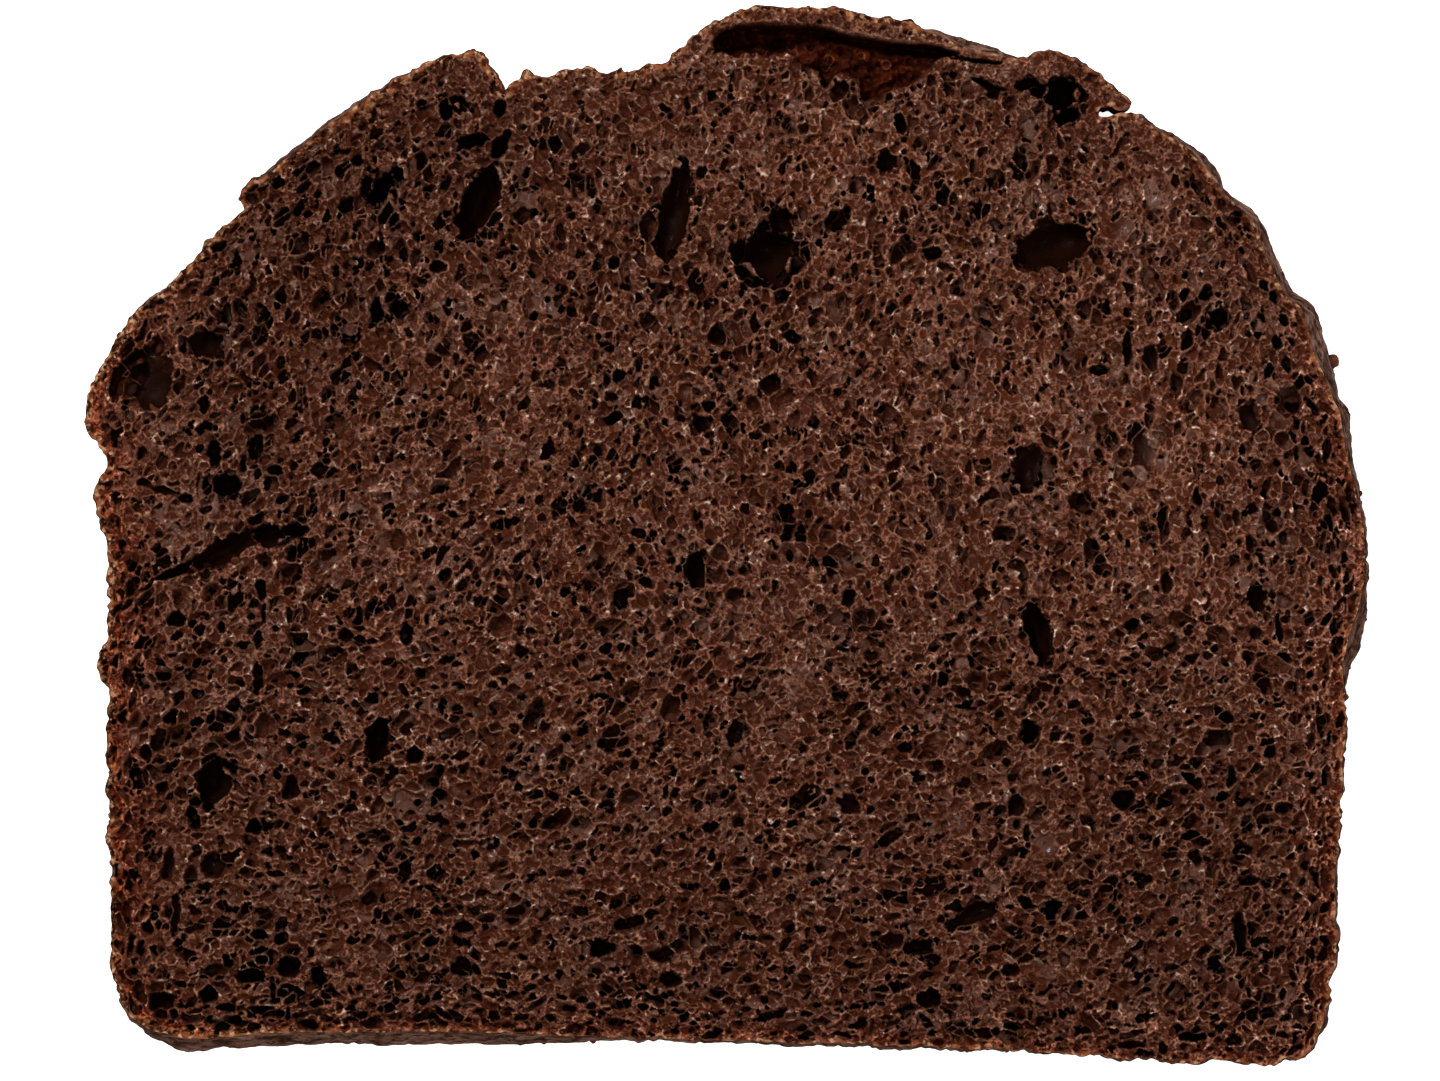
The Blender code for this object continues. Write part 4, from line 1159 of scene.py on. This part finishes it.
class Finish:
    """A material on one Principled shader, and the nodes that feed it."""

    def __init__(self, name, roughness, specular):
        self.material = bpy.data.materials.new(name)
        self.material.use_nodes = True
        self.tree = self.material.node_tree
        self.inputs = self.tree.nodes["Principled BSDF"].inputs
        self.inputs["Roughness"].default_value = roughness
        self.inputs["Specular IOR Level"].default_value = specular

    def feed(self, socket, value):
        """Gives an input a number, a colour or another node's output."""
        if isinstance(value, bpy.types.NodeSocket):
            self.tree.links.new(value, socket)
        elif isinstance(value, (int, float)):
            socket.default_value = value
        else:
            socket.default_value = (*value[:3], 1.0)

    def mix(self, factor, first, second, blend="MIX"):
        """A Mix node's colour output."""
        made = node_of(self.tree, "ShaderNodeMix", data_type="RGBA", blend_type=blend)
        for socket, value in ((0, factor), (6, first), (7, second)):
            self.feed(made.inputs[socket], value)
        return made.outputs[2]

    def math(self, operation, *values):
        """A Math node's output. Each operand is a number or another node's output."""
        made = node_of(self.tree, "ShaderNodeMath", operation=operation)
        for socket, value in zip(made.inputs, values):
            self.feed(socket, value)
        return made.outputs[0]

    def times(self, first, second):
        """One mask times another mask or a number."""
        return self.math("MULTIPLY", first, second)

    def times_plus(self, value, factor, more):
        """The value times the factor, and more on top."""
        return self.math("MULTIPLY_ADD", value, factor, more)

    def attribute(self, name):
        """One of the masks that the pieces carry."""
        return node_of(self.tree, "ShaderNodeAttribute", attribute_name=name).outputs["Fac"]

    def mottle(self, patches, low=0.35, high=0.65, detail=3.0, stretch=(1, 1, 1)):
        """A noise mask that is 0 where the noise is below low and 1 where it is above high."""
        made = node_of(self.tree, "ShaderNodeGroup", node_tree=mottle_group())
        names = ("Patches per Metre", "Detail", "Low", "High", "Stretch")
        for name, value in zip(names, (patches, detail, low, high, stretch)):
            made.inputs[name].default_value = value
        return made.outputs["Mask"]

    def roughen(self, height, strength, distance):
        """Bumps that follow a mask, as high as the distance in metres."""
        bump = node_of(self.tree, "ShaderNodeBump", {"Strength": strength, "Distance": distance})
        self.tree.links.new(height, bump.inputs["Height"])
        self.tree.links.new(bump.outputs["Normal"], self.inputs["Normal"])


def crumb_material(settings):
    """Dark walls with paler torn edges, dusky films and redder crumb next to the crust, with painted shade in
    the pits and holes, painted highlights and glints on the torn edges and the rim, and painted sheen on the
    films.
    """
    made = Finish("crumb", settings.roughness, 0.03)
    mottle, times, times_plus = made.mottle, made.times, made.times_plus
    names = ("crest", "line", "film", "edge", "hollow", "rim")
    crest, line, film, edge, hollow, rim = (made.attribute(name) for name in names)
    # From pit to wall colour by the crest mask: partly the cups' own darker colour, partly painted shade in
    # the pits and painted light on the crests.
    colour = made.mix(made.math("POWER", crest, 2.2), settings.pit_colour, settings.wall_colour)
    # Pale curls, stronger where the crest mask paints more light.
    curls = mottle(700.0, 0.0, 1.0, 2.0)
    curl = times_plus(made.math("ABSOLUTE", made.math("SUBTRACT", curls, 0.5)), -22.0, 1.0)
    curl = times(made.math("MAXIMUM", curl, 0.0), times_plus(crest, 0.42, 0.04))
    colour = made.mix(curl, colour, settings.line_colour)
    fleck = mottle(1400.0, 0.35, 0.7)
    bright = times(times_plus(fleck, 0.6, 0.25), mottle(450.0, 0.15, 0.6))
    # Pale torn edges: partly their own colour, partly a painted highlight.
    colour = made.mix(times(line, bright), colour, settings.line_colour)
    # Whole films turn greyer, partly their own colour and partly painted sheen; the same mask also gives some
    # real coat.
    film_sheen = times(film, mottle(160.0, 0.48, 0.64))
    colour = made.mix(times(film_sheen, 0.55), colour, settings.film_and_sheen_colour)
    # Painted glints: bright specks painted onto the torn edges.
    painted_glint = times(mottle(1300.0, 0.60, 0.70, 1.0), times_plus(line, 0.8, 0.15))
    colour = made.mix(times(painted_glint, crest), colour, settings.painted_glint_colour)
    colour = made.mix(edge, colour, settings.edge_tint, "MULTIPLY")
    # Next to the crust the crumb is tinted redder, and its beads are painted lighter and darker: partly
    # painted glints on them and painted shade between them.
    beads = times_plus(mottle(1100.0, 0.38, 0.62, 1.0), 1.6, 0.3)
    colour = made.mix(edge, colour, beads, "MULTIPLY")
    # The rim next to the crust is painted as orange beads, with painted shade in the gaps between them and
    # pale flecks as painted glints.
    painted_rim_beads = made.mix(mottle(1100.0, 0.44, 0.58, 3.0), settings.rim_gap_shade_colour, settings.rim_colour)
    painted_rim_beads = made.mix(mottle(1700.0, 0.52, 0.64, 2.0), painted_rim_beads, settings.rim_glint_colour)
    colour = made.mix(rim, colour, painted_rim_beads)
    # Painted shade deep in the holes and in the hollow under the lifted crust.
    colour = made.mix(times(hollow, 0.96), colour, settings.hollow_shade_colour)
    made.feed(made.inputs["Base Color"], colour)
    glint = times(mottle(900.0, 0.62, 0.68), times_plus(line, 0.7, 0.3))
    made.feed(made.inputs["Coat Weight"], made.math("MAXIMUM", times(film_sheen, 0.2), glint))
    made.inputs["Coat Roughness"].default_value = 0.22
    made.roughen(mottle(3500.0, 0.2, 0.8), 0.6, 0.0001)
    return made.material


def crust_material(settings):
    """Baked crust: fine lines along the slice's edge, and grey bloom on the lumps that is partly painted
    sheen, with painted shade in the creases and pores.
    """
    made = Finish("crust", settings.roughness, 0.0)
    mottle, times = made.mottle, made.times
    layers = mottle(900.0, 0.42, 0.58, 4.0, (0.45, 0.45, 1))
    colour = made.mix(layers, settings.dark_colour, settings.middle_colour)
    # Grey bloom on the lumps, partly a real dusting and partly painted sheen, with more of it towards the
    # top.
    bloom_and_sheen = times(mottle(2200.0, 0.40, 0.60, 4.0, (0.4, 0.4, 1)), mottle(300.0, 0.3, 0.55))
    bloom_and_sheen_on_top = made.times_plus(made.attribute("dome"), 0.4, 0.5)
    colour = made.mix(times(bloom_and_sheen, bloom_and_sheen_on_top), colour, settings.bloom_and_sheen_colour)
    shade = times(mottle(170.0, 0.42, 0.68, 2.0, (0.6, 0.6, 1)), 0.55)
    colour = made.mix(shade, colour, settings.dark_colour)
    # Painted shade in the creases.
    colour = made.mix(times(made.attribute("crease"), 0.75), colour, settings.dark_colour)
    # Painted shade in the pores, which the bump sinks.
    pits = mottle(1300.0, 0.60, 0.66, 1.0, (0.8, 0.8, 1))
    colour = made.mix(times(pits, 0.8), colour, settings.dark_colour)
    colour = made.mix(times(made.attribute("toast"), 0.85), colour, settings.toast_colour)
    made.feed(made.inputs["Base Color"], colour)
    grain = made.math("SUBTRACT", made.math("ADD", mottle(2600.0, 0.2, 0.8), layers), pits)
    made.roughen(grain, 0.8, 0.0003)
    return made.material


def floor_material(settings):
    """White paper, lit from below."""
    made = Finish("paper", 0.8, 0.1)
    shaded = [c * 0.985 for c in settings.floor_colour]
    made.feed(made.inputs["Base Color"], made.mix(made.mottle(9.0), settings.floor_colour, shaded))
    made.inputs["Emission Color"].default_value = WHITE
    made.inputs["Emission Strength"].default_value = settings.floor_glow
    return made.material


def colour_property(name, description, default):
    return bpy.props.FloatVectorProperty(
        name=name, description=description, default=default, size=3, subtype="COLOR", min=0.0, max=2.0
    )


def number_property(name, description, default, **more):
    return bpy.props.FloatProperty(name=name, description=description, default=default, min=0.0, **more)


def length_property(name, description, default):
    return number_property(name, description, default, subtype="DISTANCE", unit="LENGTH", precision=5)


def share_property(name, description, default):
    return number_property(name, description, default, subtype="FACTOR", max=1.0)


def power_property(name, description, default):
    return number_property(name, description, default, subtype="POWER", unit="POWER")


class CrumbSettings(bpy.types.PropertyGroup):
    """Sizes and colours of the crumb."""

    upper_step: length_property("Upper grid", "Distance between points of the upper cut face", 0.13 * MM)
    lower_step: length_property("Lower grid", "Distance between points of the lower cut face", 0.32 * MM)
    wall: length_property("Wall", "Thickness of the walls between bubbles", 0.20 * MM)
    torn_height: length_property("Torn height", "How uneven the knife leaves the cut face", 0.35 * MM)
    crest_drop: length_property("Crest drop", "How much lower the lowest torn walls are", 0.7 * MM)
    warp: length_property("Warp", "How far bubbles are pushed out of round", 0.22 * MM)
    shut_share: share_property("Films", "Share of the films between bubbles that are whole", 0.35)
    layers: bpy.props.IntProperty(
        name="Layers", description="How many bubbles deep the view goes", default=3, min=1, max=6
    )
    roughness: share_property("Roughness", "Roughness of the crumb", 0.5)
    # The pits' colour is partly their own darker colour and partly painted shade.
    pit_colour: colour_property("Pits", "Colour of the bottoms of the cups", (0.041, 0.0087, 0.0032))
    wall_colour: colour_property("Walls", "Colour of the crumb's walls", (0.083, 0.0200, 0.0076))
    # Pale torn edges, partly their own colour and partly painted highlight.
    line_colour: colour_property("Torn edges", "Colour of the torn edges of walls", (0.46, 0.205, 0.128))
    # Painted glints on the torn edges.
    painted_glint_colour: colour_property("Sparks", "Colour of the bright specks on torn edges", (0.85, 0.60, 0.46))
    # Whole films' greyer colour, partly their own and partly painted sheen.
    film_and_sheen_colour: colour_property("Films", "Colour of whole films", (0.13, 0.065, 0.047))
    rim_colour: colour_property("Rim", "Colour of the crumb's rim", (0.25, 0.074, 0.026))
    # Painted shade between the rim's beads.
    rim_gap_shade_colour: colour_property("Rim gaps", "Colour between the beads of the rim", (0.032, 0.006, 0.002))
    # Painted glints on the rim.
    rim_glint_colour: colour_property("Rim flecks", "Colour of the pale flecks on the rim", (0.52, 0.28, 0.155))
    edge_tint: colour_property("Next to the crust", "Tint of the crumb next to the crust", (1.55, 0.70, 0.34))
    # Painted shade deep in the large holes.
    hollow_shade_colour: colour_property("Hollow", "Colour deep in the large holes", (0.010, 0.0026, 0.0012))


class CrustSettings(bpy.types.PropertyGroup):
    """Colours of the crust."""

    roughness: share_property("Roughness", "Roughness of the crust", 0.5)
    # The dark colour also paints the shade in the creases and pores.
    dark_colour: colour_property("Dark", "Colour between the crust's fine lines", (0.020, 0.008, 0.005))
    middle_colour: colour_property("Middle", "Colour of most of the crust", (0.100, 0.042, 0.026))
    # Grey bloom, partly a real dusting and partly painted sheen.
    bloom_and_sheen_colour: colour_property("Bloom", "Grey bloom on the crust's lumps", (0.29, 0.165, 0.125))
    toast_colour: colour_property("Toast", "Colour of the torn top and stuck crumbs", (0.115, 0.034, 0.018))
    crumb_size: length_property("Crumb size", "Size of the crumbs stuck to the crust", 0.9 * MM)


class StageSettings(bpy.types.PropertyGroup):
    """Floor, light and camera."""

    floor_size: length_property("Floor", "Width of the floor", 6.0)
    floor_colour: colour_property("Floor", "Colour of the floor", (0.92, 0.92, 0.92))
    floor_glow: number_property("Floor glow", "Strength of the light box under the floor", 1.0)
    sky: number_property("Sky", "Strength of the light from all round", 0.35)
    key_power: power_property("Key", "Power of the key light", 9.0)
    fill_power: power_property("Fill", "Power of each softer light", 1.7)


def stuck_crumbs_tree():
    """Instances of one small uneven crumb on the points of a mesh."""
    tree = bpy.data.node_groups.new("Stuck Crumbs", "GeometryNodeTree")
    add_socket(tree, "Geometry", "Geometry")
    add_socket(tree, "Size", "Float", 1.0 * MM)
    add_socket(tree, "Seed", "Int", SEED)
    add_socket(tree, "Finish", "Material")
    add_socket(tree, "Geometry", "Geometry", in_out="OUTPUT")
    given, result = tree.nodes.new("NodeGroupInput"), tree.nodes.new("NodeGroupOutput")
    ball = node_of(tree, "GeometryNodeMeshIcoSphere", {"Radius": 0.5, "Subdivisions": 3})
    pattern = node_of(tree, "ShaderNodeTexNoise", {"Scale": 2.2}, noise_dimensions="3D")
    centred = node_of(tree, "ShaderNodeVectorMath", {1: (0.5, 0.5, 0.5)}, operation="SUBTRACT")
    gentle = node_of(tree, "ShaderNodeVectorMath", {"Scale": 0.45}, operation="SCALE")
    pushed = node_of(tree, "GeometryNodeSetPosition")
    turn = node_of(tree, "FunctionNodeRandomValue", {"Max": (math.tau,) * 3}, data_type="FLOAT_VECTOR")
    share = node_of(tree, "GeometryNodeInputNamedAttribute", {"Name": "share"}, data_type="FLOAT_VECTOR")
    size = node_of(tree, "ShaderNodeVectorMath", operation="SCALE")
    placed = node_of(tree, "GeometryNodeInstanceOnPoints")
    real = node_of(tree, "GeometryNodeRealizeInstances")
    finish = node_of(tree, "GeometryNodeSetMaterial")
    link_all(
        tree,
        (pattern, "Color", centred, 0),
        (ball, "Mesh", pushed, "Geometry"),
        (centred, "Vector", gentle, 0),
        (gentle, "Vector", pushed, "Offset"),
        (given, "Seed", turn, "Seed"),
        (share, "Attribute", size, 0),
        (given, "Size", size, "Scale"),
        (given, "Geometry", placed, "Points"),
        (pushed, "Geometry", placed, "Instance"),
        (turn, "Value", placed, "Rotation"),
        (size, "Vector", placed, "Scale"),
        (placed, "Instances", real, "Geometry"),
        (real, "Geometry", finish, "Geometry"),
        (given, "Finish", finish, "Material"),
        (finish, "Geometry", result, "Geometry"),
    )
    return tree


class BREAD_OT_crumb(bpy.types.Operator):
    """Make the cut face that looks up."""

    bl_idname = "bread.crumb"
    bl_label = "Make crumb"

    def execute(self, context):
        settings = context.scene.bread_crumb
        material = crumb_material(settings)
        sheet, middle = upper_sheet(settings)
        crumb = Crumb(sheet, settings, SEED)
        open_holes(crumb, middle)
        z, shift_x, shift_y, line, film, hole = crumb.surface()
        z = np.where(sheet.edge < CRUST_BAND, rim_height(sheet.x, sheet.y), z)
        pocket, pale = pocket_shape(sheet, middle)
        z = crumb.cut - (crumb.cut - z) * crumb.depth_share() * (1 - 0.7 * ramp(pocket, 1.0, 2.5))
        z = without_spikes(z - pocket)
        free, farthest = sheet.edge > 1.5 * sheet.step, LARGEST_SHIFT * sheet.step
        sheet.x += np.where(free, np.clip(shift_x, -farthest, farthest), 0)
        sheet.y += np.where(free, np.clip(shift_y, -farthest, farthest), 0)
        z[sheet.rim] = rim_height(sheet.x[sheet.rim], sheet.y[sheet.rim])
        relief = blurred(z, FINE_BLUR) - blurred(z, WIDE_BLUR)
        # Painted shade deep in the cells begins higher up in the large holes and near the crust.
        brim = fade(sheet.edge, 3.0, 6.0) * fade(sheet.y, *TORN_TOP)
        shade = np.maximum(0.8 * hole, 0.5 * brim)
        # Painted highlight: the torn edges are painted brighter near the crust, most at the right, below the
        # top.
        glow = 0.5 * fade(sheet.edge, 2.5, 7.0) * (0.4 + 0.6 * ramp(sheet.x, 30.0, 50.0))
        glow = 1 + glow * fade(sheet.y, 16.0, 26.0)
        deep = ramp(-z - pocket, 1.3 - shade, 3.0 - 1.3 * shade) * (0.6 + 0.4 * hole)
        # The masks paint light and shade: crest paints shade in the pits and light on the crests, line pale
        # torn edges with painted highlights, and hollow painted shade deep in the holes and under the lifted
        # crust.
        masks = {
            "crest": tone(z + pocket, crumb.cut, relief) * crumb.painted_light_share(pocket),
            "line": np.maximum(line * glow * (1 - 0.95 * ramp(pocket, 1.0, 2.5)), pale),
            "film": film * fade(pocket, 0.5, 2.0),
            "edge": np.maximum(rind_share(sheet), 0.6 * ramp(pocket, 1.0, 3.0)),
            "hollow": np.maximum(0.5 * ramp(pocket, 0.8, 4.5), deep),
            "rim": rim_share(sheet) * fade(pocket, 0.5, 2.0) * (1 - pale),
        }
        add_face("crumb_upper", sheet, THICKNESS + z, masks, (3, 3), True, material)
        return {"FINISHED"}


class BREAD_OT_underside(bpy.types.Operator):
    """Make the cut face that the slice lies on."""

    bl_idname = "bread.underside"
    bl_label = "Make underside"

    def execute(self, context):
        settings = context.scene.bread_crumb
        sheet = lower_sheet(settings)
        crumb = Crumb(sheet, settings, UNDERSIDE_SEED)
        z, _, _, line, film, _ = crumb.surface()
        z = without_spikes(np.clip(-z, 0, UNDERSIDE_DEPTH))
        z[sheet.rim] = 0.0
        # As on the upper face, crest paints shade in the pits and light on the ridges, and hollow paints
        # shade deep in the cells.
        masks = {
            "crest": tone(-z, crumb.cut, blurred(z, 6) - blurred(z, FINE_BLUR)),
            "line": line,
            "film": film,
            "edge": fade(sheet.edge, 0.5, 5.0),
            "hollow": ramp(z, 1.5, 4.0),
        }
        add_face("crumb_lower", sheet, z, masks, (2, 1), False, bpy.data.materials["crumb"])
        return {"FINISHED"}


class BREAD_OT_crust(bpy.types.Operator):
    """Make the crust between the two cut faces."""

    bl_idname = "bread.crust"
    bl_label = "Make crust"

    def execute(self, context):
        material = crust_material(context.scene.bread_crust)
        loop, _ = slice_outline()
        upper, _ = upper_sheet(context.scene.bread_crumb)
        lower = lower_sheet(context.scene.bread_crumb)
        rows, creases = crust_rows(loop)
        runs, _, total = loop_runs(ring(loop, 1.0))
        top, top_run = rim_ring(upper, THICKNESS + rim_height(upper.x, upper.y), total)
        low_runs, _, low_total = loop_runs(ring(loop, 0.0))
        base, base_run = rim_ring(lower, np.zeros_like(lower.x), low_total)
        points = np.concatenate([top, *rows, base])
        x, y = points[:, 0], points[:, 1]
        # crease carries the painted shade of the creases, and dome gives more grey bloom and painted sheen
        # towards the top.
        masks = {
            "crease": np.concatenate([np.zeros(len(top)), creases, np.zeros(len(base))]),
            "dome": ramp(y, -5.0, 15.0),
            "toast": 0.8 * ramp(y, 38.0, 42.0) * ramp(-x, 4.0, 7.0) * fade(-x, 24.0, 26.0),
        }
        count = len(loop)
        index = len(top) + np.arange(len(rows) * count).reshape(len(rows), count)
        right = np.roll(index, -1, axis=1)
        corners = np.stack([index[:-1], right[:-1], right[1:], index[1:]], axis=-1).reshape(-1, 4)
        base_index = len(points) - len(base) + np.arange(len(base))
        faces = np.concatenate([
            stitch(np.arange(len(top)), top_run, index[0], runs, total),
            triangles(corners, points),
            stitch(index[-1], low_runs, base_index, base_run, low_total),
        ])
        normals = vertex_normals(points, faces)
        along = np.concatenate([top_run, np.tile(runs, len(rows)), base_run])
        flat = np.column_stack([along, points[:, 2]])
        middle = along[faces].min(axis=1) / total
        part = np.searchsorted(CRUST_SPLITS, middle)
        for number, name in enumerate(CRUST_NAMES):
            add_piece(name, points, faces[part == number], material, masks, flat, normals)
        return {"FINISHED"}


class BREAD_OT_stuck_crumbs(bpy.types.Operator):
    """Make the crumbs that cling to the crust."""

    bl_idname = "bread.stuck_crumbs"
    bl_label = "Make stuck crumbs"

    def execute(self, context):
        settings = context.scene.bread_crust
        rng = np.random.default_rng(SEED + 200)
        loop, middle = slice_outline()
        which = rng.integers(0, len(loop), LOOSE_CRUMBS)
        share = 0.1 + 0.8 * rng.random(LOOSE_CRUMBS)
        places = np.column_stack([[ring(loop, s)[k] for k, s in zip(which, share)], THICKNESS * share])
        sizes = np.column_stack([0.3 + 0.5 * rng.random(LOOSE_CRUMBS)] * 3)
        for x, y, width, height in STUCK_CRUMBS:
            places = np.vstack([places, (x - middle[0], y - middle[1], STUCK_HEIGHT * THICKNESS)])
            sizes = np.vstack([sizes, (width, height, width)])
        mesh = bpy.data.meshes.new("stuck_crumbs_places")
        mesh.from_pydata((places * MM).tolist(), [], [])
        layer = mesh.attributes.new("share", "FLOAT_VECTOR", "POINT")
        layer.data.foreach_set("vector", sizes.astype(np.float32).ravel())
        seat = bpy.data.objects.new("stuck_crumbs_seat", mesh)
        context.scene.collection.objects.link(seat)
        modifier = seat.modifiers.new("crumbs", "NODES")
        modifier.node_group = stuck_crumbs_tree()
        inputs = {item.name: item.identifier for item in modifier.node_group.interface.items_tree
                  if item.in_out == "INPUT"}
        modifier[inputs["Size"]] = settings.crumb_size
        modifier[inputs["Seed"]] = SEED
        modifier[inputs["Finish"]] = bpy.data.materials["crust"]
        made = bpy.data.meshes.new_from_object(seat.evaluated_get(context.evaluated_depsgraph_get()))
        bpy.data.objects.remove(seat)
        made.shade_smooth()
        toast = made.attributes.new("toast", "FLOAT", "POINT")
        toast.data.foreach_set("value", np.ones(len(made.vertices), np.float32))
        piece = bpy.data.objects.new("stuck_crumbs", made)
        context.scene.collection.objects.link(piece)
        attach(piece, BODY)
        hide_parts(NODE)
        return {"FINISHED"}


class BREAD_OT_stage(bpy.types.Operator):
    """Make the floor, the lights and the camera."""

    bl_idname = "bread.stage"
    bl_label = "Make stage"

    def execute(self, context):
        settings = context.scene.bread_stage
        half = settings.floor_size / 2
        mesh = bpy.data.meshes.new("floor")
        corners = [(-half, -half, 0), (half, -half, 0), (half, half, 0), (-half, half, 0)]
        mesh.from_pydata(corners, [], [(0, 1, 2, 3)])
        mesh.materials.append(floor_material(settings))
        floor = bpy.data.objects.new("floor", mesh)
        context.scene.collection.objects.link(floor)
        world = bpy.data.worlds.new("studio")
        world.use_nodes = True
        background = world.node_tree.nodes["Background"].inputs
        background["Color"].default_value = WHITE
        background["Strength"].default_value = settings.sky
        context.scene.world = world
        for name, place, size, power in (
            ("key", KEY_PLACE, KEY_SIZE, settings.key_power),
            ("fill", FILL_PLACE, SOFT_SIZE, settings.fill_power),
            ("top", TOP_PLACE, SOFT_SIZE, settings.fill_power),
        ):
            light = bpy.data.lights.new(name, "AREA")
            light.shape = "DISK"
            light.size = size
            light.energy = power
            lamp = bpy.data.objects.new(name, light)
            lamp.location = place
            lamp.rotation_euler = (-Vector(place)).to_track_quat("-Z", "Y").to_euler()
            context.scene.collection.objects.link(lamp)
        camera = bpy.data.cameras.new("camera")
        camera.lens = LENS
        camera.sensor_width = SENSOR
        seat = bpy.data.objects.new("camera", camera)
        _, middle = slice_outline()
        x, y = VIEW_CENTRE[0] - middle[0], VIEW_CENTRE[1] - middle[1]
        seat.location = (x * MM, y * MM, (THICKNESS + VIEW_WIDTH * LENS / SENSOR) * MM)
        context.scene.collection.objects.link(seat)
        context.scene.camera = seat
        context.scene.view_settings.view_transform = "Standard"
        return {"FINISHED"}


class BREAD_PT_panel(bpy.types.Panel):
    """The bread's operators and settings."""

    bl_idname = "BREAD_PT_panel"
    bl_label = "Dark bread slice"
    bl_space_type = "VIEW_3D"
    bl_region_type = "UI"
    bl_category = "Bread"

    def draw(self, context):
        for operator in OPERATORS:
            self.layout.operator(operator.bl_idname)
        for settings in (context.scene.bread_crumb, context.scene.bread_crust, context.scene.bread_stage):
            for name in settings.__annotations__:
                self.layout.prop(settings, name)


OPERATORS = (BREAD_OT_crumb, BREAD_OT_underside, BREAD_OT_crust, BREAD_OT_stuck_crumbs, BREAD_OT_stage)
CLASSES = (CrumbSettings, CrustSettings, StageSettings, *OPERATORS, BREAD_PT_panel)


def register():
    for made in CLASSES:
        bpy.utils.register_class(made)
    bpy.types.Scene.bread_crumb = bpy.props.PointerProperty(type=CrumbSettings)
    bpy.types.Scene.bread_crust = bpy.props.PointerProperty(type=CrustSettings)
    bpy.types.Scene.bread_stage = bpy.props.PointerProperty(type=StageSettings)


def unregister():
    del bpy.types.Scene.bread_stage
    del bpy.types.Scene.bread_crust
    del bpy.types.Scene.bread_crumb
    for made in reversed(CLASSES):
        bpy.utils.unregister_class(made)


def main():
    register()
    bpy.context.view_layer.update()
    bpy.ops.bread.crumb()
    bpy.ops.bread.underside()
    bpy.ops.bread.crust()
    bpy.ops.bread.stuck_crumbs()
    bpy.ops.bread.stage()


if __name__ == "__main__":
    main()
